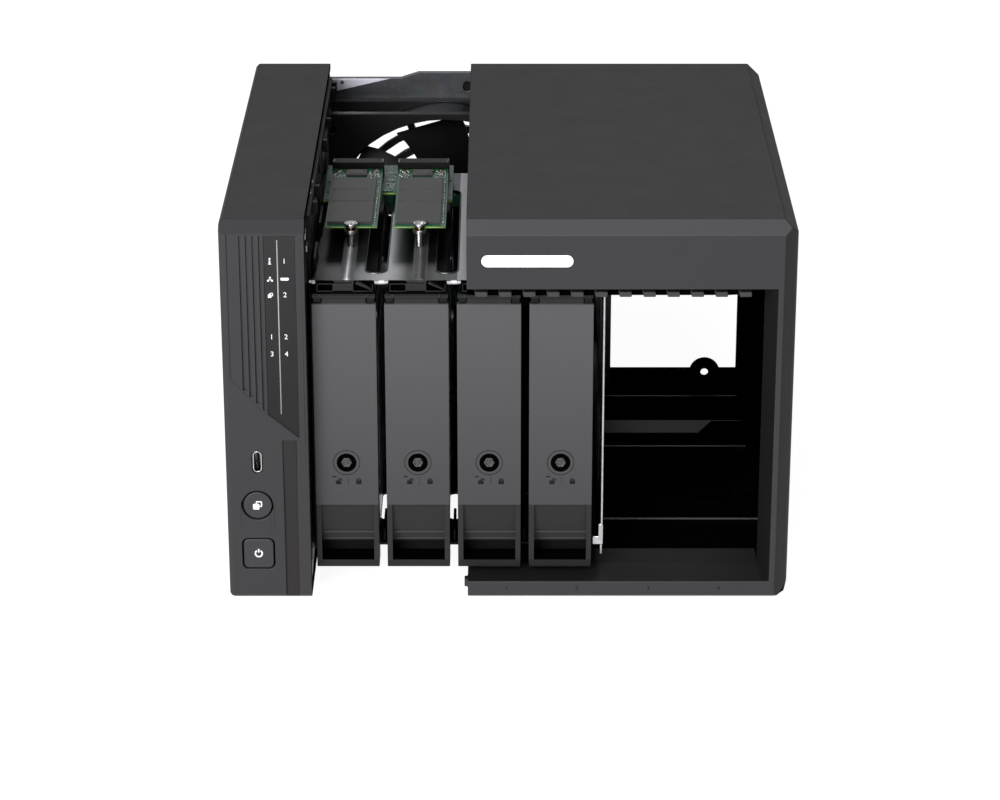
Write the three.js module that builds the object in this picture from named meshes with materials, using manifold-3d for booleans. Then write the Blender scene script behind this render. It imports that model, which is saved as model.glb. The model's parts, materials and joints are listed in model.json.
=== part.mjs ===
// Four-bay desktop network attached storage, opened for service: the wrap-round housing is slid
// aside from the left module, which shows the drive cage, the M.2 riser and the rear fan.
// Millimetres, +Z up, front towards -Y. Inside the file, x runs from the left side of the left
// module, y from the front plane and z from the underside of the body; one group at the end moves
// all of it so that the origin is at the centre of the footprint, on the surface it stands on.

import * as THREE from 'three';
import { mergeVertices } from 'three/addons/utils/BufferGeometryUtils.js';
import Module from 'manifold-3d';

const wasm = await Module();
wasm.setup();

// ---------------------------------------------------------------- driving dimensions
const CLOSED_WIDTH = 170;
const DEPTH = 228;
const BODY_HEIGHT = 167;
const FOOT_HEIGHT = 2;
const MODULE_WIDTH = 35;
const REST_SLIDE = 65;
const SHELL = 2.2;
const CHAMFER = 5.5;
const SMALL_CHAMFER = 1.6;
const GAP = 0.3;

const BAY_COUNT = 4;
const BAY_PITCH = 29.8;
const FIRST_BAY_X = 49.8;
const TRAY_HALF_WIDTH = 13.2;
const TRAY_FACE_Y = 9;
const PLATE_REAR_Y = 12.4;
const TRAY_BOTTOM_Z = 10.4;
const HINGE = { y: 10.9, z: 131.2 };
const PLATE_TOP_Z = 128.6;
const HANDLE_TOP_Z = 38.8;
const LOCK_Z = 58.1;
const LOCK_RADIUS = 3.4;
const DRIVE = { thickness: 25.4, width: 101.6, length: 147, y: 24.4, z: 19.4 };

const CAGE = { x0: 36.6, x1: 157.3, y0: 15, topRear: 157, top: 136.5, bottom: 13.2, sheet: 1.2 };
const FAN = { x: 88.65, z: 91.8, half: 60, y0: 197.3, y1: 222.3, bore: 57.2, tip: 54.4, hub: 19 };
const FAN_SCREWS = [-52.5, 52.5].flatMap((dx) => [-52.5, 52.5].map((dz) => [FAN.x + dx, FAN.z + dz]));
const REAR = { y0: 222.6, y1: 225.2, left: 2.6, right: 167.2, bottom: 3.3, low: 161.5, high: 164.2 };
const HOUSING_SCREW = { x: 212.9, z: 12.4 };
const FRAME_DEPTH = 19;
const OPENING = { bottom: 7.6, top: 138.3, right: 227, inner: 223 };
const BUTTON = { x: 12.7, powerZ: 20.4, copyX: 12.8, copyZ: 42.5, copyRadius: 5.9 };
const USB_C = { x: 13.2, z: 62.1 };

const M2 = {
  left: [40.2, 69.1], width: 22, y0: 55, y1: 135, z: 145.6, thickness: 0.8, boardTop: 142.5,
};
const M2_CONNECTOR = { y0: 132.4, y1: 138.6, top: 149.5 };
const M2_SCREW_END = 141.6;
const FLASH = { rows: [[58, 84.6], [85.2, 100.4], [101, 116.6]], left: 0.8, right: 2.2, height: 1.6 };
const RISER = { x1: 93.2, y0: 102, y1: 150, posts: [[41, 146], [88, 146]] };

const HOUSING_LEFT = MODULE_WIDTH + REST_SLIDE + GAP;
const HOUSING_RIGHT = CLOSED_WIDTH + REST_SLIDE;
const COVER_RIGHT = MODULE_WIDTH - GAP;
const TOP_UNDERSIDE = BODY_HEIGHT - SHELL;
const bayCentre = (index) => FIRST_BAY_X + BAY_PITCH * index;

// ---------------------------------------------------------------- materials
const material = (color, roughness, metalness) =>
  new THREE.MeshStandardMaterial({ color, roughness, metalness });

const graphite = material(0x3f3f42, 0.55, 0.15);
const trayGrey = material(0x57575a, 0.5, 0.1);
const blackPlastic = material(0x17171a, 0.6, 0);
const smokedPanel = material(0x202023, 0.3, 0);
const galvanised = material(0xb4b4c0, 0.35, 0.85);
const circuitGreen = material(0x1f6a4a, 0.5, 0);
const chipBlack = material(0x1b1b1d, 0.45, 0);
const brass = material(0xc6a15a, 0.3, 0.9);
const brightSteel = material(0xd0d0d4, 0.25, 0.95);
const castAluminium = material(0xa9abb0, 0.4, 0.8);
const badgeWhite = material(0xe6e6ea, 0.4, 0);
const footRubber = material(0x111112, 0.9, 0);

// ---------------------------------------------------------------- solid modelling helpers
function toSolid(geometry) {
  const bare = geometry.clone();
  bare.deleteAttribute('normal');
  bare.deleteAttribute('uv');
  const merged = mergeVertices(bare, 1e-4);
  return new wasm.Manifold(new wasm.Mesh({
    numProp: 3,
    vertProperties: new Float32Array(merged.attributes.position.array),
    triVerts: new Uint32Array(merged.index.array),
  }));
}

function toGeometry(solid) {
  const mesh = solid.getMesh();
  const geometry = new THREE.BufferGeometry();
  geometry.setAttribute('position', new THREE.BufferAttribute(mesh.vertProperties, 3));
  geometry.setIndex(new THREE.BufferAttribute(mesh.triVerts, 1));
  geometry.computeVertexNormals();
  return geometry;
}

const join = (...solids) => solids.reduce((total, solid) => total.add(solid));
const cut = (base, ...tools) => tools.reduce((left, tool) => left.subtract(tool), base);

function box(x0, x1, y0, y1, z0, z1) {
  const geometry = new THREE.BoxGeometry(x1 - x0, y1 - y0, z1 - z0);
  return toSolid(geometry.translate((x0 + x1) / 2, (y0 + y1) / 2, (z0 + z1) / 2));
}

function outline(points) {
  const vectors = points.map(([a, b]) => new THREE.Vector2(a, b));
  if (THREE.ShapeUtils.isClockWise(vectors)) vectors.reverse();
  return new THREE.Shape(vectors);
}

function roundedOutline(a0, a1, b0, b1, radius) {
  const shape = new THREE.Shape();
  shape.moveTo(a0 + radius, b0);
  shape.lineTo(a1 - radius, b0);
  shape.absarc(a1 - radius, b0 + radius, radius, -Math.PI / 2, 0);
  shape.lineTo(a1, b1 - radius);
  shape.absarc(a1 - radius, b1 - radius, radius, 0, Math.PI / 2);
  shape.lineTo(a0 + radius, b1);
  shape.absarc(a0 + radius, b1 - radius, radius, Math.PI / 2, Math.PI);
  shape.lineTo(a0, b0 + radius);
  shape.absarc(a0 + radius, b0 + radius, radius, Math.PI, Math.PI * 1.5);
  return shape;
}

function extrude(shape, depth, curveSegments = 2) {
  return new THREE.ExtrudeGeometry(shape, { depth, bevelEnabled: false, curveSegments });
}

// An (x, y) outline pulled along z.
function prismZ(shape, z0, z1) {
  return toSolid(extrude(shape, z1 - z0).translate(0, 0, z0));
}

// An (x, z) outline pulled along y.
function prismY(shape, y0, y1, curveSegments) {
  return toSolid(extrude(shape, y1 - y0, curveSegments).rotateX(Math.PI / 2).translate(0, y1, 0));
}

// A (y, z) outline pulled along x.
function prismX(shape, x0, x1) {
  const geometry = extrude(shape, x1 - x0).rotateZ(Math.PI / 2).rotateY(Math.PI / 2);
  return toSolid(geometry.translate(x0, 0, 0));
}

function cylinderX(radius, y, z, x0, x1, segments = 16) {
  const geometry = new THREE.CylinderGeometry(radius, radius, x1 - x0, segments);
  return toSolid(geometry.rotateZ(Math.PI / 2).translate((x0 + x1) / 2, y, z));
}

function cylinderY(radius, x, z, y0, y1, segments = 32) {
  const geometry = new THREE.CylinderGeometry(radius, radius, y1 - y0, segments);
  return toSolid(geometry.translate(x, (y0 + y1) / 2, z));
}

function cylinderZ(radius, x, y, z0, z1, segments = 24) {
  const geometry = new THREE.CylinderGeometry(radius, radius, z1 - z0, segments);
  return toSolid(geometry.rotateX(Math.PI / 2).translate(x, y, (z0 + z1) / 2));
}

const model = new THREE.Group();
model.position.set(-HOUSING_RIGHT / 2, -DEPTH / 2, FOOT_HEIGHT);

function place(name, solid, surface, x = 0) {
  const mesh = new THREE.Mesh(toGeometry(solid), surface.clone());
  mesh.name = name;
  mesh.position.x = x;
  model.add(mesh);
}

// ---------------------------------------------------------------- left module: outer cover
const FACET = [
  [3.2, 162], [33.4, 162], [33.4, 69.6], [29.5, 73.5], [16.2, 84.8], [7.4, 94.6], [3.2, 99.3],
];
const WINDOW = [[18.3, 161.2], [30.9, 161.2], [30.9, 73], [18.3, 83.6]];
const FLUTES = { x0: 8.2, pitch: 2.65, count: 4, depth: 0.8, top: 161.2, bottom: 94.2, step: 2.9 };

function leftSideCover() {
  const side = outline([
    [SMALL_CHAMFER, 0], [DEPTH, 0], [DEPTH, BODY_HEIGHT], [CHAMFER, BODY_HEIGHT],
    [0, BODY_HEIGHT - CHAMFER], [0, SMALL_CHAMFER],
  ]);
  const front = outline([
    [SMALL_CHAMFER, 0], [COVER_RIGHT, 0], [COVER_RIGHT, BODY_HEIGHT],
    [SMALL_CHAMFER, BODY_HEIGHT], [0, BODY_HEIGHT - SMALL_CHAMFER], [0, SMALL_CHAMFER],
  ]);
  const plan = outline([
    [SMALL_CHAMFER, 0], [COVER_RIGHT, 0], [COVER_RIGHT, DEPTH], [0, DEPTH], [0, SMALL_CHAMFER],
  ]);
  const outer = prismX(side, 0, COVER_RIGHT)
    .intersect(prismY(front, 0, DEPTH))
    .intersect(prismZ(plan, 0, BODY_HEIGHT));
  const frontWall = SHELL + 0.6;
  const hollow = prismX(outline([
    [frontWall, frontWall], [DEPTH + 1, frontWall], [DEPTH + 1, BODY_HEIGHT - frontWall],
    [CHAMFER + frontWall / 2, BODY_HEIGHT - frontWall], [frontWall, BODY_HEIGHT - CHAMFER - 1],
  ]), SHELL, MODULE_WIDTH + 1);
  const facet = prismY(outline(FACET), -1, 1).intersect(prismX(outline([
    [-1, 60], [0.05, 60], [0.05, 69], [0.55, 163], [-1, 163],
  ]), 0, MODULE_WIDTH));
  const windowPocket = prismY(outline(WINDOW), -1, 1.9);
  const flutes = Array.from({ length: FLUTES.count }, (_, i) => {
    const x = FLUTES.x0 + FLUTES.pitch * i;
    return prismZ(outline([
      [x, -1], [x, 0.5 + FLUTES.depth], [x + FLUTES.pitch - 0.2, 0.1], [x + FLUTES.pitch - 0.2, -1],
    ]), FLUTES.bottom - FLUTES.step * i, FLUTES.top);
  });
  const groove = prismX(outline([[-1, -1], [1.1, -1], [1.1, 40], [0.15, 72], [-1, 72]]), 24, 29.5);
  const powerHole = prismY(roundedOutline(
    BUTTON.x - 6.9, BUTTON.x + 6.9, BUTTON.powerZ - 7.1, BUTTON.powerZ + 7.1, 2.6), -1, 4);
  const copyHole = cylinderY(BUTTON.copyRadius + 0.7, BUTTON.copyX, BUTTON.copyZ, -1, 4, 40);
  const usbHole = prismY(roundedOutline(
    USB_C.x - 2.3, USB_C.x + 2.3, USB_C.z - 5.1, USB_C.z + 5.1, 2.2), -1, 4);
  return cut(outer, hollow, facet, windowPocket, ...flutes, groove, powerHole, copyHole, usbHole);
}

// The black inner wall that closes the left module, with the rail and clips that hold the housing.
const WALL = { x0: 32.4, y0: 3.2, y1: 222.2, z0: 3.2, z1: 163.8, corner: 5 };
const RAIL = { x1: 36.2, y0: 20, y1: 215, z0: 150, z1: 163.4 };
const CLIP = { spans: [[37, 61], [121, 156], [200, 212]], x1: 38.4, z0: 158, z1: 163.2, leg: 3 };
const WALL_WINDOW = { starts: [68, 86, 104, 166, 182], length: 10, z0: 156, z1: 160.5 };

function chassisWall() {
  const wall = prismX(outline([
    [WALL.y0, WALL.z0], [WALL.y1, WALL.z0], [WALL.y1, WALL.z1], [WALL.y0 + WALL.corner, WALL.z1],
    [WALL.y0, WALL.z1 - WALL.corner],
  ]), WALL.x0, COVER_RIGHT);
  const inside = COVER_RIGHT - GAP;
  const rail = box(inside, RAIL.x1, RAIL.y0, RAIL.y1, RAIL.z0, RAIL.z1);
  const lowerPad = box(inside, RAIL.x1 - GAP, 24, 190, 12, 148);
  const clips = CLIP.spans.map(([y0, y1]) => join(
    box(inside, CLIP.x1, y0, y0 + CLIP.leg, CLIP.z0, CLIP.z1),
    box(inside, CLIP.x1, y1 - CLIP.leg, y1, CLIP.z0, CLIP.z1),
    box(inside, CLIP.x1 - 1.2, y0, y1, CLIP.z0, CLIP.z0 + 2),
  ));
  const cutAcross = (y0, y1, z0, z1) => box(WALL.x0 - 1, CLIP.x1 + 1, y0, y1, z0, z1);
  const windows = WALL_WINDOW.starts.map((y) =>
    cutAcross(y, y + WALL_WINDOW.length, WALL_WINDOW.z0, WALL_WINDOW.z1));
  const fanNotch = cutAcross(FAN.y0 - 0.4, FAN.y1 + 1, FAN.z - FAN.half - 0.4, FAN.z + FAN.half + 0.4);
  const riserSlot = cutAcross(100, 152, 138, 147);
  const tabNotch = box(33.2, 40, 2, 8.4, 2, 8);
  return cut(join(wall, rail, lowerPad, ...clips), ...windows, fanNotch, riserSlot, tabNotch);
}

function ledPanel() {
  const inset = WINDOW.map(([x, z]) => [x + (x < 20 ? GAP : -GAP), z + (z > 120 ? -GAP : GAP * 1.2)]);
  return prismY(outline(inset), 0.7, 1.6);
}

function powerButton() {
  const face = prismY(roundedOutline(
    BUTTON.x - 6.2, BUTTON.x + 6.2, BUTTON.powerZ - 6.5, BUTTON.powerZ + 6.5, 2.1), 0.2, 3.4);
  return join(face, box(BUTTON.x - 1.5, BUTTON.x + 1.5, 3.2, 7, BUTTON.powerZ - 1.5,
    BUTTON.powerZ + 1.5));
}

function copyButton() {
  const face = cylinderY(BUTTON.copyRadius, BUTTON.copyX, BUTTON.copyZ, 0.2, 3.4, 40);
  return join(face, cylinderY(1.6, BUTTON.copyX, BUTTON.copyZ, 3.2, 7, 16));
}

function usbCPort() {
  const shell = prismY(roundedOutline(
    USB_C.x - 1.95, USB_C.x + 1.95, USB_C.z - 4.75, USB_C.z + 4.75, 1.9), 0.4, 9);
  const mouth = prismY(roundedOutline(
    USB_C.x - 1.4, USB_C.x + 1.4, USB_C.z - 4.2, USB_C.z + 4.2, 1.35), -1, 7.5);
  const tongue = box(USB_C.x - 0.35, USB_C.x + 0.35, 1.6, 8, USB_C.z - 3.3, USB_C.z + 3.3);
  return join(cut(shell, mouth), tongue);
}

// ---------------------------------------------------------------- left module: electronics
const BOARD = { x0: 24.4, x1: 26, y0: 18, y1: 221, z0: 8, z1: 158 };
const BOARD_SCREWS = [[26, 14], [26, 150], [190, 14], [190, 150]];
const BOARD_CHIPS = [[30, 42, 60, 76], [40, 60, 110, 130], [150, 166, 40, 56]];
const HEATSINK = { x0: 10, y0: 88, y1: 142, z0: 92, z1: 140, base: 20.5, fins: 8, pitch: 6.3 };
const MEMORY = { x0: 18.2, x1: 19.4, y0: 70, y1: 137.6, height: 30, chips: [74, 90, 108, 122] };
const MEMORY_Z = [22, 56];

function frontIoBoard() {
  return cut(box(5, 23, 9.4, 11, 10, 152), cylinderY(1.6, 8, 145, 9, 12, 12));
}

function mainboard() {
  const board = box(BOARD.x0, BOARD.x1, BOARD.y0, BOARD.y1, BOARD.z0, BOARD.z1);
  const holes = BOARD_SCREWS.map(([y, z]) => cylinderX(1.7, y, z, BOARD.x0 - 4, BOARD.x1 + 4, 12));
  const chips = BOARD_CHIPS.map(([y0, y1, z0, z1]) =>
    box(BOARD.x0 - 2, BOARD.x0 + 0.4, y0, y1, z0, z1));
  return join(cut(board, ...holes), ...chips);
}

function heatsink() {
  const block = box(HEATSINK.x0, BOARD.x0 - GAP, HEATSINK.y0, HEATSINK.y1, HEATSINK.z0, HEATSINK.z1);
  const slots = Array.from({ length: HEATSINK.fins }, (_, i) => {
    const y = HEATSINK.y0 + 3.4 + i * HEATSINK.pitch;
    return box(HEATSINK.x0 - 1, HEATSINK.base, y, y + 3.6, HEATSINK.z0 - 1, HEATSINK.z1 + 1);
  });
  return cut(block, ...slots);
}

function memoryModule(z) {
  const board = box(MEMORY.x0, MEMORY.x1, MEMORY.y0, MEMORY.y1, z, z + MEMORY.height);
  const chips = MEMORY.chips.map((y) =>
    box(MEMORY.x0 - 1, MEMORY.x0 + 0.4, y, y + 11, z + 10, z + 24));
  const socket = box(MEMORY.x1 - 0.4, BOARD.x0 - GAP, MEMORY.y0, MEMORY.y1, z - 2, z + 4);
  return join(board, ...chips, socket);
}

// ---------------------------------------------------------------- rear panel and its ports
const PORT_Z = { ethernet: [42, 62], usb: 92, hdmi: 118, power: 20 };
const PORT_LEFT = 8.4;
const PORT_RIGHT = BOARD.x0 - GAP;
const PORT_FACE = REAR.y1 + GAP;
const SHIELD_RIGHT = 27;
const GRILLE = {
  rings: [14.7, 22.9, 31.1, 39.3, 47.3], slot: 4.8, bars: [19.6, 64.6, 109.6, 154.6], barHalf: 1.7,
};

function annulusY(inner, outer, y0, y1, segments) {
  return cut(cylinderY(outer, FAN.x, FAN.z, y0, y1, segments),
    cylinderY(inner, FAN.x, FAN.z, y0 - 1, y1 + 1, segments));
}

// A bar through the fan's centre, turned about the fan's axis.
function fanBar(angle, halfLength, halfWidth, y0, y1) {
  const bar = new THREE.BoxGeometry(halfLength * 2, y1 - y0, halfWidth * 2);
  return toSolid(bar.rotateY(-angle).translate(FAN.x, (y0 + y1) / 2, FAN.z));
}

function grilleSlots() {
  const y0 = REAR.y0 - 1;
  const y1 = REAR.y1 + 1;
  const rings = GRILLE.rings.map((r, i) => annulusY(r, r + GRILLE.slot, y0, y1, 24 + i * 4));
  const bars = GRILLE.bars.map((degrees) =>
    fanBar(THREE.MathUtils.degToRad(degrees), FAN.half, GRILLE.barHalf, y0 - 1, y1 + 1));
  return cut(join(...rings), ...bars);
}

// A hole through the sheet at the rear.
const rearHole = (radius, x, z, segments) =>
  cylinderY(radius, x, z, REAR.y0 - 1, REAR.y1 + 1, segments);

// The narrow plate behind the left module, cut out for the sockets.
function ioShield() {
  const plate = box(REAR.left, SHIELD_RIGHT, REAR.y0, REAR.y1, REAR.bottom, REAR.low);
  const cutOut = (x0, x1, z, half) => box(x0, x1, REAR.y0 - 1, REAR.y1 + 1, z - half, z + half);
  const right = PORT_RIGHT + GAP;
  return cut(
    plate,
    ...PORT_Z.ethernet.map((z) => cutOut(PORT_LEFT - GAP, right, z, 8.4)),
    cutOut(PORT_LEFT - GAP, right, PORT_Z.usb, 7.9),
    cutOut(17.2, right, PORT_Z.hdmi, 8),
    cutOut(12.6, right, PORT_Z.power, 5.1),
    cutOut(14, 21, 147.5, 1.5),
    rearHole(1, 16, 134, 12),
  );
}

function rearPanel() {
  const corner = 3.8;
  const left = SHIELD_RIGHT + GAP;
  const plate = prismY(outline([
    [left, REAR.bottom], [REAR.right - corner, REAR.bottom], [REAR.right, REAR.bottom + corner],
    [REAR.right, REAR.high - corner], [REAR.right - corner, REAR.high], [76, REAR.high],
    [67.7, REAR.low], [left, REAR.low],
  ]), REAR.y0, REAR.y1);
  const screws = FAN_SCREWS.map(([x, z]) => rearHole(2.2, x, z, 10));
  const housingScrew = rearHole(1.6, HOUSING_SCREW.x - REST_SLIDE, HOUSING_SCREW.z, 16);
  return cut(plate, grilleSlots(), ...screws, housingScrew, rearHole(2.4, 99, 157.5, 16));
}

function ethernetPort(z) {
  const shell = box(PORT_LEFT, PORT_RIGHT, 204, PORT_FACE, z - 8.1, z + 8.1);
  const mouth = box(PORT_LEFT + 2, PORT_RIGHT - 4, 212, REAR.y1 + 2, z - 6, z + 6);
  const latch = box(PORT_RIGHT - 5, PORT_RIGHT - 1.4, 212, REAR.y1 + 2, z - 3, z + 3);
  return cut(shell, mouth, latch);
}

function usbPortStack(z) {
  const shell = box(PORT_LEFT, PORT_RIGHT, 208, PORT_FACE, z - 7.6, z + 7.6);
  const mouths = [PORT_LEFT + 0.8, PORT_LEFT + 8.4].map((x) =>
    cut(box(x, x + 6, 212, REAR.y1 + 2, z - 6.6, z + 6.6),
      box(x + 0.4, x + 1.5, 211, REAR.y1 - 1, z - 5.6, z + 5.6)));
  return cut(shell, ...mouths);
}

function hdmiPort(z) {
  const shell = box(17.5, PORT_RIGHT, 212, PORT_FACE, z - 7.7, z + 7.7);
  const mouth = prismY(outline([
    [18.2, z - 7], [21, z - 7], [23.3, z - 5.4], [23.3, z + 5.4], [21, z + 7], [18.2, z + 7],
  ]), 215, REAR.y1 + 2);
  const tongue = box(20.1, 21.1, 214, REAR.y1 - 1.5, z - 5.2, z + 5.2);
  return join(cut(shell, mouth), tongue);
}

function powerJack(z) {
  const shell = box(12.9, PORT_RIGHT, 211, PORT_FACE, z - 4.8, z + 4.8);
  const mouth = cylinderY(3.6, 18.5, z, 214, REAR.y1 + 2, 24);
  return join(cut(shell, mouth), cylinderY(1.2, 18.5, z, 213, REAR.y1 - 1, 12));
}

// ---------------------------------------------------------------- fan
const BLADE = {
  count: 7, firstAngle: 87.4, steps: 6, halfThickness: 0.6, lean: 0.198,
  rootSweep: 21.5, tipSweep: 16, rootRise: 7.2, tipRise: 7,
};

function fanFrame() {
  const { x, z, half, y0, y1 } = FAN;
  const block = prismY(roundedOutline(x - half, x + half, z - half, z + half, 5), y0, y1);
  const bore = cylinderY(FAN.bore, x, z, y0 - 1, y1 + 1, 48);
  // Between its two flanges the frame is only a round barrel with a boss at each corner.
  const flange = 4;
  const bosses = FAN_SCREWS.map(([sx, sz]) => cylinderY(3.9, sx, sz, y0, y1, 12));
  const waist = cut(
    box(x - half - 1, x + half + 1, y0 + flange, y1 - flange, z - half - 1, z + half + 1),
    cylinderY(half - 0.6, x, z, y0, y1, 48), ...bosses);
  const screws = FAN_SCREWS.map(([sx, sz]) => cylinderY(2.1, sx, sz, y0 - 1, y1 + 1, 10));
  const motorPlate = cylinderY(FAN.hub + 1, x, z, y1 - 3, y1, 32);
  const spokes = [30, 150, 270].map((degrees) => {
    const reach = FAN.bore + 1.5 - FAN.hub;
    const spoke = new THREE.BoxGeometry(reach, 3, 4).translate(FAN.hub + reach / 2, 0, 0);
    return toSolid(spoke.rotateY(-THREE.MathUtils.degToRad(degrees)).translate(x, y1 - 1.5, z));
  });
  return join(cut(block, bore, waist, ...screws), motorPlate, ...spokes);
}

// One blade: a curved strip, wider in angle at its root, whose upper left edge is at the front.
function fanBlade(angle) {
  const { lerp, degToRad } = THREE.MathUtils;
  const corners = [[-1, -1], [1, -1], [1, 1], [-1, 1]];
  const positions = [];
  for (let i = 0; i <= BLADE.steps; i += 1) {
    const t = i / BLADE.steps;
    const radius = lerp(FAN.hub - 1.5, FAN.tip, t);
    const sweep = degToRad(lerp(BLADE.rootSweep, BLADE.tipSweep, t));
    const rise = lerp(BLADE.rootRise, BLADE.tipRise, t);
    for (const [edge, face] of corners) {
      const turn = angle + BLADE.lean * t * t + edge * sweep;
      const height = face * BLADE.halfThickness - edge * rise;
      positions.push(radius * Math.cos(turn), height, radius * Math.sin(turn));
    }
  }
  const index = [];
  const ring = corners.length;
  for (let i = 0; i < BLADE.steps; i += 1) {
    for (let k = 0; k < ring; k += 1) {
      const a = i * ring + k;
      const b = i * ring + (k + 1) % ring;
      index.push(a, a + ring, b, b, a + ring, b + ring);
    }
  }
  const last = BLADE.steps * ring;
  index.push(0, 1, 2, 0, 2, 3, last, last + 2, last + 1, last, last + 3, last + 2);
  const geometry = new THREE.BufferGeometry();
  geometry.setAttribute('position', new THREE.Float32BufferAttribute(positions, 3));
  geometry.setIndex(index);
  return toSolid(geometry.translate(FAN.x, (FAN.y0 + FAN.y1) / 2 - 1, FAN.z));
}

function fanRotor() {
  const first = THREE.MathUtils.degToRad(BLADE.firstAngle);
  const blades = Array.from({ length: BLADE.count }, (_, i) =>
    fanBlade(first + i * Math.PI * 2 / BLADE.count));
  const hub = cylinderY(FAN.hub, FAN.x, FAN.z, FAN.y0 + 1.2, FAN.y1 - 3.6, 42);
  return join(hub, ...blades);
}

// ---------------------------------------------------------------- drive cage and backplane
const BETWEEN_BAYS = [0, 1, 2].map((i) => bayCentre(i) + BAY_PITCH / 2);
const BAYS = Array.from({ length: BAY_COUNT }, (_, i) => bayCentre(i));
const SLOT = { firstX: 62.6, pitch: 29.4, halfWidth: 4.3, y0: 24.8, y1: 132.3 };
const BEAD = { radius: 1.5, offset: 1.1, y0: 16, y1: 99 };
const CAGE_TABS = [[26, 46], [70, 92]];
const CAGE_FOOT = [[153, 18], [157.5, 18], [157.5, 27.5], [155.5, 27.5], [155.5, 21.8], [153, 21.8]];
const GUIDES = [[26, 48], [100, 168]];
const FLOOR_SLOT = { halfWidth: 2.4, y0: 49, y1: 78 };
const SIDE_SLOT = { starts: [40, 68, 96, 124], length: 14, bottoms: [30, 84], height: 34 };
const BACKPLANE = { x0: 37.4, x1: 155, y0: 176, y1: 177.6, z0: 17, z1: 124 };

function driveCage() {
  const { x0, x1, y0, topRear, top, bottom, sheet } = CAGE;
  const rearY = BACKPLANE.y0 - 0.6;
  const topSheet = box(x0, x1, y0, topRear, top - sheet, top);
  const rightWall = box(x1 - sheet, x1, y0, rearY, bottom, top);
  const bottomSheet = box(x0, x1, 24.6, FAN.y1, bottom, bottom + sheet);
  const flange = box(150, x1, rearY - sheet, rearY, bottom, BACKPLANE.z1);
  const foot = prismY(outline(CAGE_FOOT), y0 - 0.6, y0 + 0.6);
  const leftTabs = CAGE_TABS.map(([a, b]) => box(x0, x0 + sheet, a, b, top - 1, 143));
  const beads = BAYS.map((x) => {
    const bead = new THREE.CylinderGeometry(BEAD.radius, BEAD.radius, BEAD.y1 - BEAD.y0, 8);
    return toSolid(bead.translate(x + BEAD.offset, (BEAD.y0 + BEAD.y1) / 2, top - 0.5));
  });
  const guides = BETWEEN_BAYS.flatMap((x) =>
    GUIDES.map(([a, b]) => box(x - 0.6, x + 0.6, a, b, bottom, 20)));
  const slots = BETWEEN_BAYS.map((_, i) => {
    const x = SLOT.firstX + SLOT.pitch * i;
    return prismZ(roundedOutline(x - SLOT.halfWidth, x + SLOT.halfWidth, SLOT.y0, SLOT.y1,
      SLOT.halfWidth - 0.05), top - 4, top + 4);
  });
  const floorSlots = BETWEEN_BAYS.map((x) => prismZ(roundedOutline(x - FLOOR_SLOT.halfWidth,
    x + FLOOR_SLOT.halfWidth, FLOOR_SLOT.y0, FLOOR_SLOT.y1, 2.3), bottom - 3, bottom + 3));
  const sideSlots = SIDE_SLOT.starts.flatMap((y) => SIDE_SLOT.bottoms.map((z) =>
    prismX(roundedOutline(y, y + SIDE_SLOT.length, z, z + SIDE_SLOT.height, 4), x1 - 7, x1 + 3)));
  const posts = RISER.posts.map(([x, y]) => cylinderZ(2.6, x, y, top - 1, M2.boardTop - 1.9, 12));
  const sheetMetal = cut(join(topSheet, rightWall, bottomSheet, flange, ...leftTabs, ...beads),
    ...slots, ...floorSlots, ...sideSlots);
  return join(sheetMetal, foot, ...guides, ...posts);
}

function backplaneBoard() {
  const { x0, x1, y0, y1, z0, z1 } = BACKPLANE;
  const vents = BETWEEN_BAYS.flatMap((x) => [[26, 66], [74, 114]].map(([low, high]) =>
    prismY(roundedOutline(x - 8, x + 8, low, high, 3), y0 - 1, y1 + 1)));
  const sockets = BAYS.map((x) => box(x - 4.2, x + 1.8, y0 - 4.1, y0 + 0.4, 28, 70));
  return join(cut(box(x0, x1, y0, y1, z0, z1), ...vents), ...sockets);
}

// ---------------------------------------------------------------- M.2 riser and modules
function riserBoard() {
  const bottom = M2.boardTop - 1.6;
  const board = box(CAGE.x0 + 0.4, RISER.x1, RISER.y0, RISER.y1, bottom, M2.boardTop);
  return cut(board, box(62.4, 68.8, RISER.y0 - 2, RISER.y0 + 12, bottom - 1, M2.boardTop + 1));
}

function m2Connector(index) {
  const x0 = M2.left[index] - 0.4;
  const x1 = x0 + M2.width + 0.8;
  const { y0, y1, top } = M2_CONNECTOR;
  const mouth = box(x0 + 0.1, x1 - 0.1, y0 - 1, M2.y1 + 0.5, M2.z - 0.4, M2.z + M2.thickness + 0.4);
  return cut(box(x0, x1, y0, y1, M2.boardTop + GAP, top), mouth);
}

function m2Module(index) {
  const x = M2.left[index];
  const top = M2.z + M2.thickness;
  const board = box(x, x + M2.width, M2.y0, M2.y1, M2.z, top);
  const notch = cylinderZ(1.9, x + M2.width / 2, M2.y0, M2.z - 5, top + 5, 20);
  const flash = FLASH.rows.map(([y0, y1]) =>
    box(x + FLASH.left, x + M2.width - FLASH.right, y0, y1, top - 0.2, top + FLASH.height));
  const controller = box(x + 6.2, x + 15.2, 121.5, 129.5, top - 0.2, top + 1.2);
  return join(cut(board, notch), ...flash, controller);
}

function m2Standoff(index) {
  const x = M2.left[index] + M2.width / 2;
  const collarTop = M2.z - GAP;
  const post = cylinderZ(1.7, x, M2.y0, CAGE.top + 1.4, collarTop - 1, 12);
  const collar = cylinderZ(2.9, x, M2.y0, collarTop - 1.5, collarTop, 16);
  return cut(join(post, collar), cylinderZ(1.1, x, M2.y0, M2_SCREW_END - 1, M2.z + 2, 12));
}

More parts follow.
